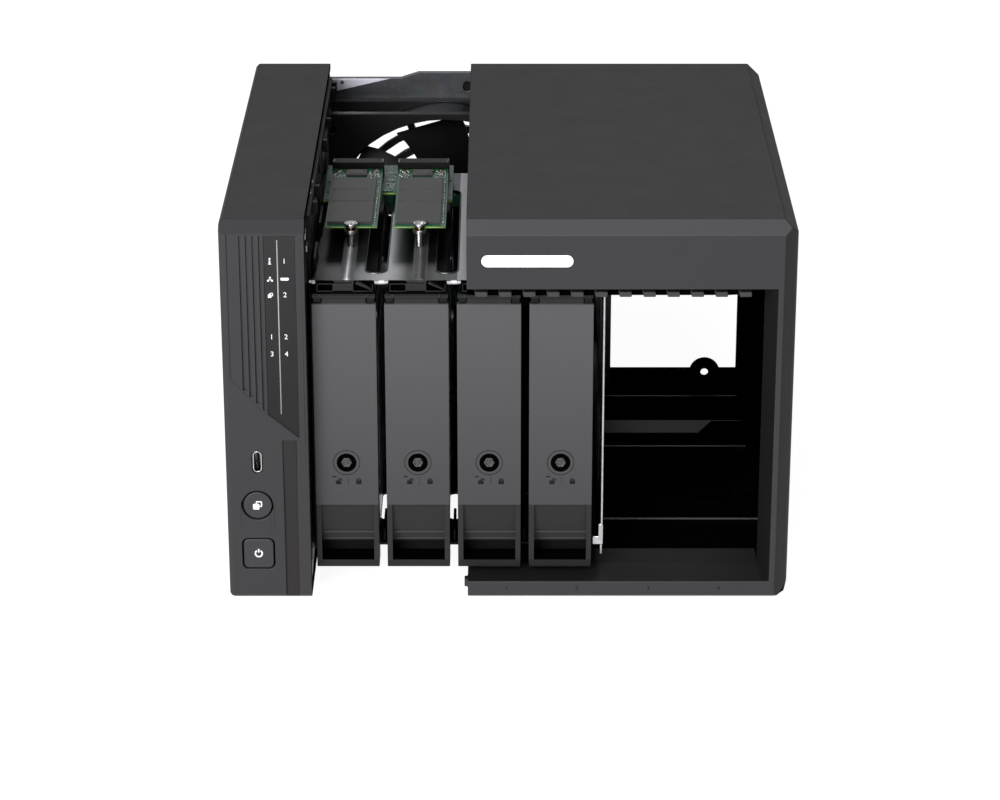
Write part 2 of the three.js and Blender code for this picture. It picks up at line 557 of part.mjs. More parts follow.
function m2Screw(index) {
  const x = M2.left[index] + M2.width / 2;
  const top = M2.z + M2.thickness;
  const head = cylinderZ(2.9, x, M2.y0, top + GAP, top + 1.7, 24);
  const shank = cylinderZ(0.8, x, M2.y0, M2_SCREW_END, top + 0.6, 12);
  const cross = join(box(x - 1.7, x + 1.7, M2.y0 - 0.3, M2.y0 + 0.3, top + 1, top + 3),
    box(x - 0.3, x + 0.3, M2.y0 - 1.7, M2.y0 + 1.7, top + 1, top + 3));
  return cut(join(head, shank), cross);
}

// ---------------------------------------------------------------- drive trays, built about x = 0
const W = TRAY_HALF_WIDTH;
const EAR = { inner: 9.4, outer: 12.6 };

const CHEEK = { thickness: 2.2, rear: 20, top: 34 };
const BAR_TOP_Z = 13.5;

function trayHandle() {
  const plate = box(-W, W, TRAY_FACE_Y, PLATE_REAR_Y, HANDLE_TOP_Z, PLATE_TOP_Z);
  const pinReach = EAR.outer - GAP;
  const neckReach = EAR.inner - GAP;
  const neck = box(-neckReach, neckReach, 9.8, 12.2, PLATE_TOP_Z - 1, HINGE.z);
  const barrel = cylinderX(1.3, HINGE.y, HINGE.z, -neckReach, neckReach, 12);
  const pin = cylinderX(0.85, HINGE.y, HINGE.z, -pinReach, pinReach, 10);
  const cheek = outline([
    [TRAY_FACE_Y, TRAY_BOTTOM_Z], [CHEEK.rear, TRAY_BOTTOM_Z], [CHEEK.rear, CHEEK.top],
    [16, HANDLE_TOP_Z + 0.5], [TRAY_FACE_Y, HANDLE_TOP_Z + 0.5],
  ]);
  const cheeks = [-W, W - CHEEK.thickness].map((x) => prismX(cheek, x, x + CHEEK.thickness));
  const bar = box(-W, W, TRAY_FACE_Y, CHEEK.rear, TRAY_BOTTOM_Z, BAR_TOP_Z);
  // The finger recess slants back from under the plate and ends in two steps.
  const back = prismX(outline([
    [10.2, 39.8], [10.2, 38.8], [12.2, 26.4], [13.4, 26.2], [13.4, 24], [14.5, 23.8],
    [14.5, 22], [15.6, 21.8], [15.6, 19.8], [17.6, 19.8], [15.4, 30], [PLATE_REAR_Y, 39.8],
  ]), -W + 2, W - 2);
  const lockHole = cylinderY(LOCK_RADIUS + GAP, 0, LOCK_Z, TRAY_FACE_Y - 1, PLATE_REAR_Y + 2, 28);
  return cut(join(plate, neck, barrel, pin, ...cheeks, bar, back), lockHole);
}

function trayLock() {
  const cylinder = cylinderY(LOCK_RADIUS, 0, LOCK_Z, TRAY_FACE_Y - 0.3, 12.6, 24);
  const dish = cylinderY(2.5, 0, LOCK_Z, TRAY_FACE_Y - 1, TRAY_FACE_Y + 0.5, 16);
  const slot = box(-0.6, 0.6, TRAY_FACE_Y - 1, TRAY_FACE_Y + 2, LOCK_Z - 2, LOCK_Z + 2);
  return cut(cylinder, dish, slot);
}

const TRAY_RAILS = [{ z0: 15.2, z1: 18.9, y0: 23 }, { z0: 121.6, z1: 125.2, y0: 16 }];

function trayFrame() {
  const front = prismX(outline([
    [13, 133], [17, 133], [17, 48], [24, 41], [24, 12], [20.6, 12], [20.6, 39.6], [13, 46],
  ]), -EAR.outer, EAR.outer);
  const windows = box(-9, 9, 12, 26, 74, 112);
  const lockWell = box(-5, 5, 12, 18, LOCK_Z - 5, LOCK_Z + 5);
  const ears = [-EAR.outer, EAR.inner].map((x) =>
    box(x, x + EAR.outer - EAR.inner, 9.3, 13.4, 129.4, 133));
  const pinHole = cylinderX(1.15, HINGE.y, HINGE.z, -EAR.outer - 1, EAR.outer + 1, 12);
  const rails = TRAY_RAILS.map(({ z0, z1, y0 }) => box(-12.2, 12.2, y0, 168, z0, z1));
  return cut(join(front, ...ears, ...rails), windows, lockWell, pinHole);
}

function hardDrive() {
  const half = DRIVE.thickness / 2;
  const y1 = DRIVE.y + DRIVE.length;
  const z1 = DRIVE.z + DRIVE.width;
  const body = prismY(outline([
    [-half, DRIVE.z + 1], [-half + 1, DRIVE.z], [half - 1, DRIVE.z], [half, DRIVE.z + 1],
    [half, z1 - 1], [half - 1, z1], [-half + 1, z1], [-half, z1 - 1],
  ]), DRIVE.y, y1);
  const boardRecess = box(-half - 1, -half + 2.4, DRIVE.y + 30, y1 + 1, DRIVE.z + 8, z1 - 8);
  const connector = box(-half + 1, -half + 6, y1 - 4, y1 + 1, DRIVE.z + 7, DRIVE.z + 50);
  return cut(body, boardRecess, connector);
}

const CATCH = { x0: -11.6, x1: 12.4, y0: 9.7, y1: 14.7, z0: 133.6, z1: 137.2 };

// The fixed catch above each tray that the top of the tray's handle locks under.
function trayCatch() {
  const { x0, x1, y0, y1, z0, z1 } = CATCH;
  const pockets = [[x0 + 1.1, x0 + 7.1], [x1 - 8.2, x1 - 0.8]].map(([a, b]) =>
    box(a, b, y0 - 2, y1 - 0.9, z0 + 0.9, z1 + 1));
  const roll = cylinderX(1.7, 11.6, 135.9, -3.8, 3.5, 14);
  return join(cut(box(x0, x1, y0, y1, z0, z1), ...pockets), roll);
}

// ---------------------------------------------------------------- wrap-round housing
const BADGE = { x0: 106, x1: 144, z0: 147.6, z1: 153.4, radius: 2.8 };
const BOTTOM_ROUND = 6;
const FLOOR = { underRibs: 2, ribTop: 6, ribHalf: 0.8, ridge: 1.6, stepTop: 6.2, stepY1: 36.5 };
const COMB = { firstX: 103.8, pitch: 9.8, count: 12, width: 5, y0: 3, railY: 6.6, z0: 134, z1: 136.2 };
const RIB_Y = [68.3, 149.9, 211.8];
const RAISED_FLATS = [{ y0: 87.5, y1: 103.4, x: 211.7 }, { y0: 165.4, y1: 181.4, x: 206.8 }];
const FLAT_SLANT = 7;
const WALL_RIB_Y = [60, 110, 160, 205];

function housingOutside() {
  const front = new THREE.Shape();
  front.moveTo(HOUSING_LEFT, 0);
  front.lineTo(HOUSING_RIGHT - BOTTOM_ROUND, 0);
  front.absarc(HOUSING_RIGHT - BOTTOM_ROUND, BOTTOM_ROUND, BOTTOM_ROUND, -Math.PI / 2, 0);
  front.lineTo(HOUSING_RIGHT, BODY_HEIGHT - CHAMFER);
  front.lineTo(HOUSING_RIGHT - CHAMFER, BODY_HEIGHT);
  front.lineTo(HOUSING_LEFT, BODY_HEIGHT);
  const side = outline([
    [SMALL_CHAMFER, 0], [DEPTH, 0], [DEPTH, BODY_HEIGHT], [CHAMFER, BODY_HEIGHT],
    [0, BODY_HEIGHT - CHAMFER], [0, SMALL_CHAMFER],
  ]);
  const plan = outline([
    [HOUSING_LEFT, 0], [HOUSING_RIGHT - CHAMFER, 0], [HOUSING_RIGHT, CHAMFER],
    [HOUSING_RIGHT, DEPTH], [HOUSING_LEFT, DEPTH],
  ]);
  return prismY(front, 0, DEPTH)
    .intersect(prismX(side, HOUSING_LEFT, HOUSING_RIGHT))
    .intersect(prismZ(plan, 0, BODY_HEIGHT));
}

// What is cut out of the housing: the space inside, the doorway and the window at the rear.
function housingHollows() {
  const left = HOUSING_LEFT - 1;
  const innerRight = HOUSING_RIGHT - SHELL;
  const lipY = DEPTH - 2;
  const main = prismY(outline([
    [left, 3], [innerRight - 4, 3], [innerRight, 7], [innerRight, BODY_HEIGHT - CHAMFER - 1],
    [innerRight - 4.3, TOP_UNDERSIDE], [left, TOP_UNDERSIDE],
  ]), FRAME_DEPTH, lipY);
  const overRail = prismX(outline([
    [8, 139.6], [FRAME_DEPTH + 1, 139.6], [FRAME_DEPTH + 1, TOP_UNDERSIDE], [8, TOP_UNDERSIDE],
  ]), left, OPENING.inner);
  const doorway = prismZ(outline([
    [left, -1], [OPENING.right, -1], [OPENING.right, 0], [OPENING.inner, FRAME_DEPTH + 0.5],
    [left, FRAME_DEPTH + 0.5],
  ]), OPENING.bottom, OPENING.top);
  const doorwayTop = box(left, OPENING.inner, 8, FRAME_DEPTH + 1, 137, 140);
  const rearWindow = box(left, 227.9, lipY - 1, DEPTH + 1, 14.5, 161);
  return [main, overRail, doorway, doorwayTop, rearWindow];
}

// Ribs and raised flats across the floor, and upright ribs on the side wall.
function housingRibs() {
  const start = HOUSING_LEFT + 1;
  const end = HOUSING_RIGHT - 7;
  const { underRibs, ribTop, ribHalf, ridge, stepTop, stepY1 } = FLOOR;
  const step = box(HOUSING_LEFT, 224, FRAME_DEPTH - 1, stepY1, underRibs, stepTop);
  const ribs = RIB_Y.map((y) => box(start, end, y - ribHalf, y + ribHalf, underRibs, ribTop));
  // Each flat ends in a slant and goes on to the right as a narrow ridge along its rear edge.
  const flats = RAISED_FLATS.map(({ y0, y1, x }) => prismZ(outline([
    [start, y0], [x, y0], [x + FLAT_SLANT, y1 - ridge], [end, y1 - ridge], [end, y1], [start, y1],
  ]), underRibs, ribTop));
  const innerRight = HOUSING_RIGHT - SHELL;
  const wallRibs = WALL_RIB_Y.map((y) =>
    box(innerRight - 1.2, innerRight + 1, y - 0.8, y + 0.8, 8, 150));
  return [step, ...ribs, ...flats, ...wallRibs];
}

function housingCover() {
  const { x0, x1, z0, z1, radius } = BADGE;
  const badgePocket = prismY(roundedOutline(x0, x1, z0, z1, radius), -1, 0.9);
  const combRail = box(HOUSING_LEFT, 217.5, COMB.railY, 8.4, COMB.z0 - 0.3, 139);
  const teeth = Array.from({ length: COMB.count }, (_, i) => {
    const x = COMB.firstX + i * COMB.pitch;
    return box(x, x + COMB.width, COMB.y0, COMB.railY + 0.4, COMB.z0, COMB.z1);
  });
  const hook = box(HOUSING_LEFT - 1.4, HOUSING_LEFT + 2, 3.2, 7, 3.6, 7.1);
  const tab = cylinderY(7.3, HOUSING_SCREW.x, HOUSING_SCREW.z, DEPTH - 2, DEPTH, 32);
  const tabHole = cylinderY(1.9, HOUSING_SCREW.x, HOUSING_SCREW.z, DEPTH - 3, DEPTH + 1, 20);
  const shell = cut(housingOutside(), ...housingHollows(), badgePocket);
  return cut(join(shell, ...housingRibs(), combRail, ...teeth, hook, tab), tabHole);
}

function frontBadge() {
  const { x0, x1, z0, z1 } = BADGE;
  return prismY(roundedOutline(x0 + GAP, x1 - GAP, z0 + GAP, z1 - GAP, 2.5), 0.1, 0.6);
}

const FEET = {
  left_front: [17, 20], left_rear: [17, 208], right_front: [217, 20], right_rear: [217, 208],
};

function foot([x, y]) {
  return cylinderZ(6.5, x, y, -FOOT_HEIGHT, -GAP, 28);
}

// ---------------------------------------------------------------- assembly
place('left_side_cover', leftSideCover(), graphite);
place('chassis_wall', chassisWall(), blackPlastic);
place('led_panel', ledPanel(), smokedPanel);
place('power_button', powerButton(), graphite);
place('copy_button', copyButton(), graphite);
place('usb_c_port', usbCPort(), brightSteel);
place('front_io_board', frontIoBoard(), circuitGreen);
place('mainboard', mainboard(), circuitGreen);
place('cpu_heatsink', heatsink(), castAluminium);
MEMORY_Z.forEach((z, i) => place(`memory_module_${i + 1}`, memoryModule(z), circuitGreen));

place('io_shield', ioShield(), galvanised);
place('rear_panel', rearPanel(), galvanised);
PORT_Z.ethernet.forEach((z, i) => place(`ethernet_port_${i + 1}`, ethernetPort(z), brightSteel));
place('usb_port_stack', usbPortStack(PORT_Z.usb), brightSteel);
place('hdmi_port', hdmiPort(PORT_Z.hdmi), brightSteel);
place('dc_power_jack', powerJack(PORT_Z.power), blackPlastic);
place('fan_frame', fanFrame(), blackPlastic);
place('fan_rotor', fanRotor(), blackPlastic);

place('drive_cage', driveCage(), galvanised);
place('backplane_board', backplaneBoard(), circuitGreen);
place('m2_riser_board', riserBoard(), circuitGreen);
for (const index of [0, 1]) {
  place(`m2_connector_${index + 1}`, m2Connector(index), chipBlack);
  place(`m2_module_${index + 1}`, m2Module(index), circuitGreen);
  place(`m2_standoff_${index + 1}`, m2Standoff(index), brass);
  place(`m2_screw_${index + 1}`, m2Screw(index), brightSteel);
}

for (const [bay, x] of BAYS.entries()) {
  place(`tray_frame_${bay + 1}`, trayFrame(), blackPlastic, x);
  place(`tray_handle_${bay + 1}`, trayHandle(), trayGrey, x);
  place(`tray_lock_${bay + 1}`, trayLock(), chipBlack, x);
  place(`hard_drive_${bay + 1}`, hardDrive(), castAluminium, x);
  place(`tray_catch_${bay + 1}`, trayCatch(), blackPlastic, x);
}

place('housing_cover', housingCover(), graphite);
place('front_badge', frontBadge(), badgeWhite);
for (const [name, centre] of Object.entries(FEET)) {
  place(`foot_${name}`, foot(centre), footRubber);
}

export default model;
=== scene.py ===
"""A desktop network attached storage unit, its housing slid open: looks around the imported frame.

Pieces are built in millimetres of the unit's own layout (x from the left side, y from the front
plane, z from the underside) and placed by the left cover's corner, which the frame gives.
"""
import json
import math
import random

import bmesh
import bpy
from mathutils import Matrix, Vector

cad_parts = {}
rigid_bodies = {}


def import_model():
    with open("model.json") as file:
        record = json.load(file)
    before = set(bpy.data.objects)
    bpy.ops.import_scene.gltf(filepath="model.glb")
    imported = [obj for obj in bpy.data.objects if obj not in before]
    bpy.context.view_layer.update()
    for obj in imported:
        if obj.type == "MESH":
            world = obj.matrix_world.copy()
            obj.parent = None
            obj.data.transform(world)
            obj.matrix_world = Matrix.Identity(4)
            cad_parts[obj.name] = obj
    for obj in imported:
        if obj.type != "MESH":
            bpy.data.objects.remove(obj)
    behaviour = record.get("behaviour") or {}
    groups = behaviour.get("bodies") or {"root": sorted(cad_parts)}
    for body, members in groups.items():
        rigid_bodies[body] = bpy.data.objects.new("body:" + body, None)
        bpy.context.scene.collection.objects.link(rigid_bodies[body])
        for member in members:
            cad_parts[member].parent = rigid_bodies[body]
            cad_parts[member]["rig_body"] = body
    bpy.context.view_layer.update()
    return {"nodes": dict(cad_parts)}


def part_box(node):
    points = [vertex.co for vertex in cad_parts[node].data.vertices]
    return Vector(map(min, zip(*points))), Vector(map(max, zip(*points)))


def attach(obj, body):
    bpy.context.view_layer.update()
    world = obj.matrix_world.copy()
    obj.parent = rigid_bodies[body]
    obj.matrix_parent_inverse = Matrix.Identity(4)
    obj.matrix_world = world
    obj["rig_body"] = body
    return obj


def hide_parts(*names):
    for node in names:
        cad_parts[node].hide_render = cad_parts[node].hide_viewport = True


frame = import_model()

MM = 0.001
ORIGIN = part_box("left_side_cover")[0]
BAYS = (1, 2, 3, 4)


def place(x, y, z):
    """A point of the layout, in millimetres, as a point of the row frame."""
    return ORIGIN + Vector((x, y, z)) * MM


def span(node):
    """A CAD node's lowest and highest corner, in layout millimetres."""
    low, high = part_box(node)
    return (low - ORIGIN) / MM, (high - ORIGIN) / MM


# ------------------------------------------------------------------ materials


class Graph:
    """A node material, wired up in a few words."""

    def __init__(self, name):
        self.material = bpy.data.materials.new(name)
        self.material.use_nodes = True
        self.nodes = self.material.node_tree.nodes
        self.shader = self.nodes["Principled BSDF"]
        self.coords = self.nodes.new("ShaderNodeTexCoord").outputs["Object"]

    def link(self, source, target):
        self.material.node_tree.links.new(source, target)

    def put(self, target, value):
        if isinstance(value, bpy.types.NodeSocket):
            self.link(value, target)
        else:
            target.default_value = value

    def finish(self, **values):
        for name, value in values.items():
            self.put(self.shader.inputs[name.replace("_", " ")], value)
        return self.material

    def stretched(self, scale):
        node = self.nodes.new("ShaderNodeMapping")
        self.link(self.coords, node.inputs["Vector"])
        node.inputs["Scale"].default_value = scale
        return node.outputs["Vector"]

    def noise(self, scale, detail=3.0, roughness=0.5, vector=None, distortion=0.0):
        node = self.nodes.new("ShaderNodeTexNoise")
        self.link(vector or self.coords, node.inputs["Vector"])
        node.inputs["Scale"].default_value = scale
        node.inputs["Detail"].default_value = detail
        node.inputs["Roughness"].default_value = roughness
        node.inputs["Distortion"].default_value = distortion
        return node.outputs["Fac"]

    def cells(self, scale, feature="F1", metric="EUCLIDEAN", vector=None, output="Distance"):
        node = self.nodes.new("ShaderNodeTexVoronoi")
        node.feature = feature
        if feature != "DISTANCE_TO_EDGE":
            node.distance = metric
        self.link(vector or self.coords, node.inputs["Vector"])
        node.inputs["Scale"].default_value = scale
        return node.outputs[output]

    def along(self, axis, low, high):
        """0 to 1 between two places, in metres, along one axis of the piece."""
        parts = self.nodes.new("ShaderNodeSeparateXYZ")
        self.link(self.coords, parts.inputs[0])
        share = self.nodes.new("ShaderNodeMapRange")
        self.link(parts.outputs[axis], share.inputs["Value"])
        share.inputs["From Min"].default_value = low
        share.inputs["From Max"].default_value = high
        return share.outputs["Result"]

    def ramp(self, factor, *stops):
        """Stops are (position, value or colour)."""
        node = self.nodes.new("ShaderNodeValToRGB")
        self.link(factor, node.inputs["Fac"])
        while len(node.color_ramp.elements) < len(stops):
            node.color_ramp.elements.new(0.5)
        for element, (position, value) in zip(node.color_ramp.elements, stops):
            element.position = position
            grey = isinstance(value, (int, float))
            element.color = (value, value, value, 1) if grey else (*value, 1)
        return node.outputs["Color"]

    def mix(self, factor, first, second, blend="MIX"):
        node = self.nodes.new("ShaderNodeMix")
        node.data_type = "RGBA"
        node.blend_type = blend
        sockets = {socket.identifier: socket for socket in (*node.inputs, *node.outputs)}
        self.put(sockets["Factor_Float"], factor)
        self.put(sockets["A_Color"], (*first, 1) if isinstance(first, tuple) else first)
        self.put(sockets["B_Color"], (*second, 1) if isinstance(second, tuple) else second)
        return sockets["Result_Color"]

    def sum(self, first, second, operation="ADD"):
        node = self.nodes.new("ShaderNodeMath")
        node.operation = operation
        self.put(node.inputs[0], first)
        self.put(node.inputs[1], second)
        return node.outputs[0]

    def bump(self, height, strength, distance, under=None):
        node = self.nodes.new("ShaderNodeBump")
        node.inputs["Strength"].default_value = strength
        node.inputs["Distance"].default_value = distance
        self.link(height, node.inputs["Height"])
        if under is not None:
            self.link(under, node.inputs["Normal"])
        return node.outputs["Normal"]

    def edges(self, radius):
        """Near 1 along edges, from how a rounded normal differs from the true one."""
        bevel = self.nodes.new("ShaderNodeBevel")
        bevel.samples = 4
        bevel.inputs["Radius"].default_value = radius
        true = self.nodes.new("ShaderNodeNewGeometry").outputs["Normal"]
        dot = self.nodes.new("ShaderNodeVectorMath")
        dot.operation = "DOT_PRODUCT"
        self.link(bevel.outputs["Normal"], dot.inputs[0])
        self.link(true, dot.inputs[1])
        return self.ramp(dot.outputs["Value"], (0.86, 1.0), (0.995, 0.0))


def tone(colour, factor):
    return tuple(min(1.0, channel * factor) for channel in colour)


def grey(value):
    return (value, value, value)


def moulded(name, colour, roughness=0.5, grain=0.3, wear_and_sheen=0.0, spread=0.04, specular=0.2, painted_fade=None):
    """Injection-moulded plastic: spark-eroded grain, faint flow marks, rubbed edges with painted
    highlight.

    painted_fade gives two heights in metres and the tone at each: painted shade, darker downwards.
    """
    g = Graph(name)
    flow = g.noise(9, 4, 0.6, g.stretched((1, 0.35, 1)))
    tint = g.ramp(flow, (0.3, tone(colour, 1 - spread)), (0.7, tone(colour, 1 + spread)))
    if painted_fade:
        low, high, low_tone, high_tone = painted_fade
        shade = g.ramp(g.along("Z", low, high), (0.0, low_tone), (1.0, high_tone))
        tint = g.mix(1.0, tint, shade, "MULTIPLY")
    # edges lightened: partly rubbed wear, partly a painted highlight
    if wear_and_sheen:
        scuffs = g.noise(420, 5, 0.7)
        rubbed_and_lit = g.sum(g.edges(0.0007), g.ramp(scuffs, (0.42, 0.25), (0.62, 1.0)), "MULTIPLY")
        tint = g.mix(g.sum(rubbed_and_lit, wear_and_sheen, "MULTIPLY"), tint, tone(colour, 2.4))
    pits = g.cells(1500)
    speckle = g.noise(2600, 2, 0.6)
    normal = g.bump(pits, grain, 0.00006)
    normal = g.bump(speckle, grain * 0.8, 0.00005, normal)
    gloss = g.ramp(g.noise(60, 5, 0.65), (0.3, roughness - 0.02), (0.7, roughness + 0.03))
    return g.finish(Base_Color=tint, Roughness=gloss, Normal=normal, Specular_IOR_Level=specular)


def galvanised(name, colour, roughness=0.34, bands=None, ripple=0.08, metallic=1.0):
    """Zinc-coated sheet: fine spangles of slightly different tone, rolled streaks.

    bands gives, in layout millimetres, where the painted light that repeats across a sheet starts,
    its pitch and tones, and the place left of which painted shade darkens the sheet.
    """
    g = Graph(name)
    spangle = g.cells(520, output="Color", vector=g.stretched((1, 1, 0.6)))
    tint = g.mix(0.10, colour, spangle, "SOFT_LIGHT")
    streaks = g.noise(260, 4, 0.7, g.stretched((1, 0.06, 1)))
    tint = g.mix(g.ramp(streaks, (0.35, 0.0), (0.75, 0.35)), tint, tone(colour, 0.8))
    if bands:
        start, pitch, tones, shaded_to = bands
        start, shaded_to, pitch = place(start, 0, 0).x, place(shaded_to, 0, 0).x, pitch * MM
        # painted light: a repeating ramp of tones across the sheet
        share = g.sum(g.along("X", start, start + pitch), 1.0, "FLOORED_MODULO")
        tint = g.mix(1.0, tint, g.ramp(share, *tones), "MULTIPLY")
        # painted shade over the sheet left of shaded_to
        painted_sheet_shade = g.ramp(g.along("X", start - pitch, shaded_to), (0.0, 0.1), (0.5, 0.22), (1.0, 1.0))
        tint = g.mix(1.0, tint, painted_sheet_shade, "MULTIPLY")
    marks = g.noise(900, 3, 0.6)
    gloss = g.sum(g.ramp(streaks, (0.2, roughness - 0.04), (0.9, roughness + 0.06)),
                  g.ramp(marks, (0.3, 0.0), (0.8, 0.06)))
    normal = g.bump(g.noise(700, 3), ripple, 0.00003)
    return g.finish(Base_Color=tint, Metallic=metallic, Roughness=gloss, Normal=normal)


def turned(name, colour, roughness):
    """Small plated metal parts: fine machining lines and a little tarnish."""
    g = Graph(name)
    lines = g.noise(1400, 4, 0.7, g.stretched((1, 1, 0.1)))
    tint = g.ramp(g.noise(300, 4), (0.35, tone(colour, 0.75)), (0.65, colour))
    gloss = g.ramp(lines, (0.3, roughness - 0.06), (0.7, roughness + 0.1))
    normal = g.bump(lines, 0.15, 0.00002)
    return g.finish(Base_Color=tint, Metallic=1.0, Roughness=gloss, Normal=normal)


def cast(name, colour, roughness=0.4):
    """Die-cast aluminium with a fine peened surface."""
    g = Graph(name)
    peen = g.cells(700)
    tint = g.ramp(g.noise(40, 5, 0.6), (0.3, tone(colour, 0.85)), (0.7, tone(colour, 1.1)))
    gloss = g.ramp(g.noise(160, 4), (0.3, roughness - 0.08), (0.7, roughness + 0.12))
    return g.finish(Base_Color=tint, Metallic=0.9, Roughness=gloss,
                    Normal=g.bump(peen, 0.2, 0.00008))


def circuit(name, colour=(0.035, 0.17, 0.105)):
    """Solder mask over copper: tracks show as paler raised lines, vias as tinned dots."""
    g = Graph(name)
    lanes = g.cells(420, metric="MANHATTAN", vector=g.stretched((1, 0.55, 1)))
    track = g.ramp(lanes, (0.30, 0.0), (0.33, 1.0), (0.40, 1.0), (0.43, 0.0))
    pour = g.ramp(g.cells(120, metric="CHEBYCHEV"), (0.42, 0.0), (0.45, 0.6))
    tint = g.mix(track, colour, tone(colour, 1.9))
    tint = g.mix(pour, tint, tone(colour, 0.7))
    vias = g.ramp(g.cells(650), (0.13, 1.0), (0.17, 0.0))
    tint = g.mix(vias, tint, (0.45, 0.42, 0.28))
    weave = g.noise(2200, 2)
    height = g.sum(track, vias, "ADD")
    normal = g.bump(height, 0.3, 0.00004, g.bump(weave, 0.12, 0.00003))
    return g.finish(Base_Color=tint, Roughness=0.36, Metallic=g.sum(vias, 0.7, "MULTIPLY"),
                    Normal=normal)


def epoxy(name, colour=(0.03, 0.03, 0.032), roughness=0.42):
    """Chip packages: fine filled epoxy with faint laser haze."""
    g = Graph(name)
    fill = g.noise(3200, 3, 0.7)
    haze = g.ramp(g.noise(70, 4), (0.35, colour), (0.7, tone(colour, 1.25)))
    gloss = g.ramp(fill, (0.3, roughness - 0.04), (0.7, roughness + 0.08))
    return g.finish(Base_Color=haze, Roughness=gloss, Normal=g.bump(fill, 0.22, 0.00003))


def smoked(name):
    """The indicator window: dark tinted plastic with a smooth face and inner haze."""
    g = Graph(name)
    haze = g.ramp(g.noise(26, 3), (0.3, (0.0080, 0.0080, 0.0085)), (0.7, (0.0095, 0.0095, 0.010)))
    # painted light: the window is lighter towards its top
    shade = g.ramp(g.along("Z", place(0, 0, 90).z, place(0, 0, 160).z), (0.0, 0.8), (1.0, 1.5))
    haze = g.mix(1.0, haze, shade, "MULTIPLY")
    gloss = g.ramp(g.noise(240, 5, 0.7), (0.35, 0.30), (0.7, 0.36))
    return g.finish(Base_Color=haze, Roughness=gloss, Specular_IOR_Level=0.22,
                    Normal=g.bump(g.noise(1900, 2), 0.06, 0.00002))


def printed(name, colour, roughness=0.45, specular=0.5):
    """Ink or a pale moulded insert: slightly uneven, with a soft sheen."""
    g = Graph(name)
    cover = g.ramp(g.noise(1500, 3, 0.6), (0.3, tone(colour, 0.88)), (0.6, colour))
    return g.finish(Base_Color=cover, Roughness=roughness, Specular_IOR_Level=specular,
                    Normal=g.bump(g.noise(2400, 2), 0.1, 0.00002))


def rubbery(name):
    g = Graph(name)
    dust = g.ramp(g.noise(500, 6, 0.75), (0.45, (0.012, 0.012, 0.013)), (0.75, (0.03, 0.03, 0.03)))
    return g.finish(Base_Color=dust, Roughness=0.85, Normal=g.bump(g.cells(2100), 0.4, 0.00006))


FLOOR_GLOW = 0.93
FLOOR_REACH, FLOOR_CLEARANCE = 6, 0.2 * MM
WORLD_COLOUR, WORLD_STRENGTH = (0.93, 0.95, 1.0, 1), 0.12


def floor_surface(name):
    """A lit white table: it glows a little, so that it stays pale under the object."""
    g = Graph(name)
    cloud = g.ramp(g.noise(3, 2), (0.3, (0.22, 0.22, 0.222)), (0.7, (0.24, 0.24, 0.24)))
    return g.finish(Base_Color=cloud, Roughness=0.9, Specular_IOR_Level=0.05,
                    Emission_Color=(1, 1, 1, 1), Emission_Strength=FLOOR_GLOW)


SLOT_X, SLOT_PITCH, SLOT_HALF = 62.6, 29.4, 4.3
# painted reflection across each bay of the cage top: bright beside a slot, darker towards the next
# bead
SLOT_PAINTED_SHEEN = ((0.0, 1.0), (0.14, 0.75), (0.30, 0.12), (0.50, 0.06), (0.72, 0.18), (1.0, 0.26))
# painted highlight across each bead: a bright core with softer shoulders
BEAD_X, BEAD_PITCH, BEAD_HALF = 50.9, 29.8, 3.0
BEAD_GLEAM = ((0.0, 0.12), (0.055, 0.22), (0.085, 0.5), (0.10, 1.0), (0.115, 0.5), (0.145, 0.22),
              (0.201, 0.12))
# painted shade on the tray plates: darker towards the bottom, lighter towards the top
PLATE_PAINTED_FADE = (place(0, 0, 40).z, place(0, 0, 128).z, 0.72, 1.18)

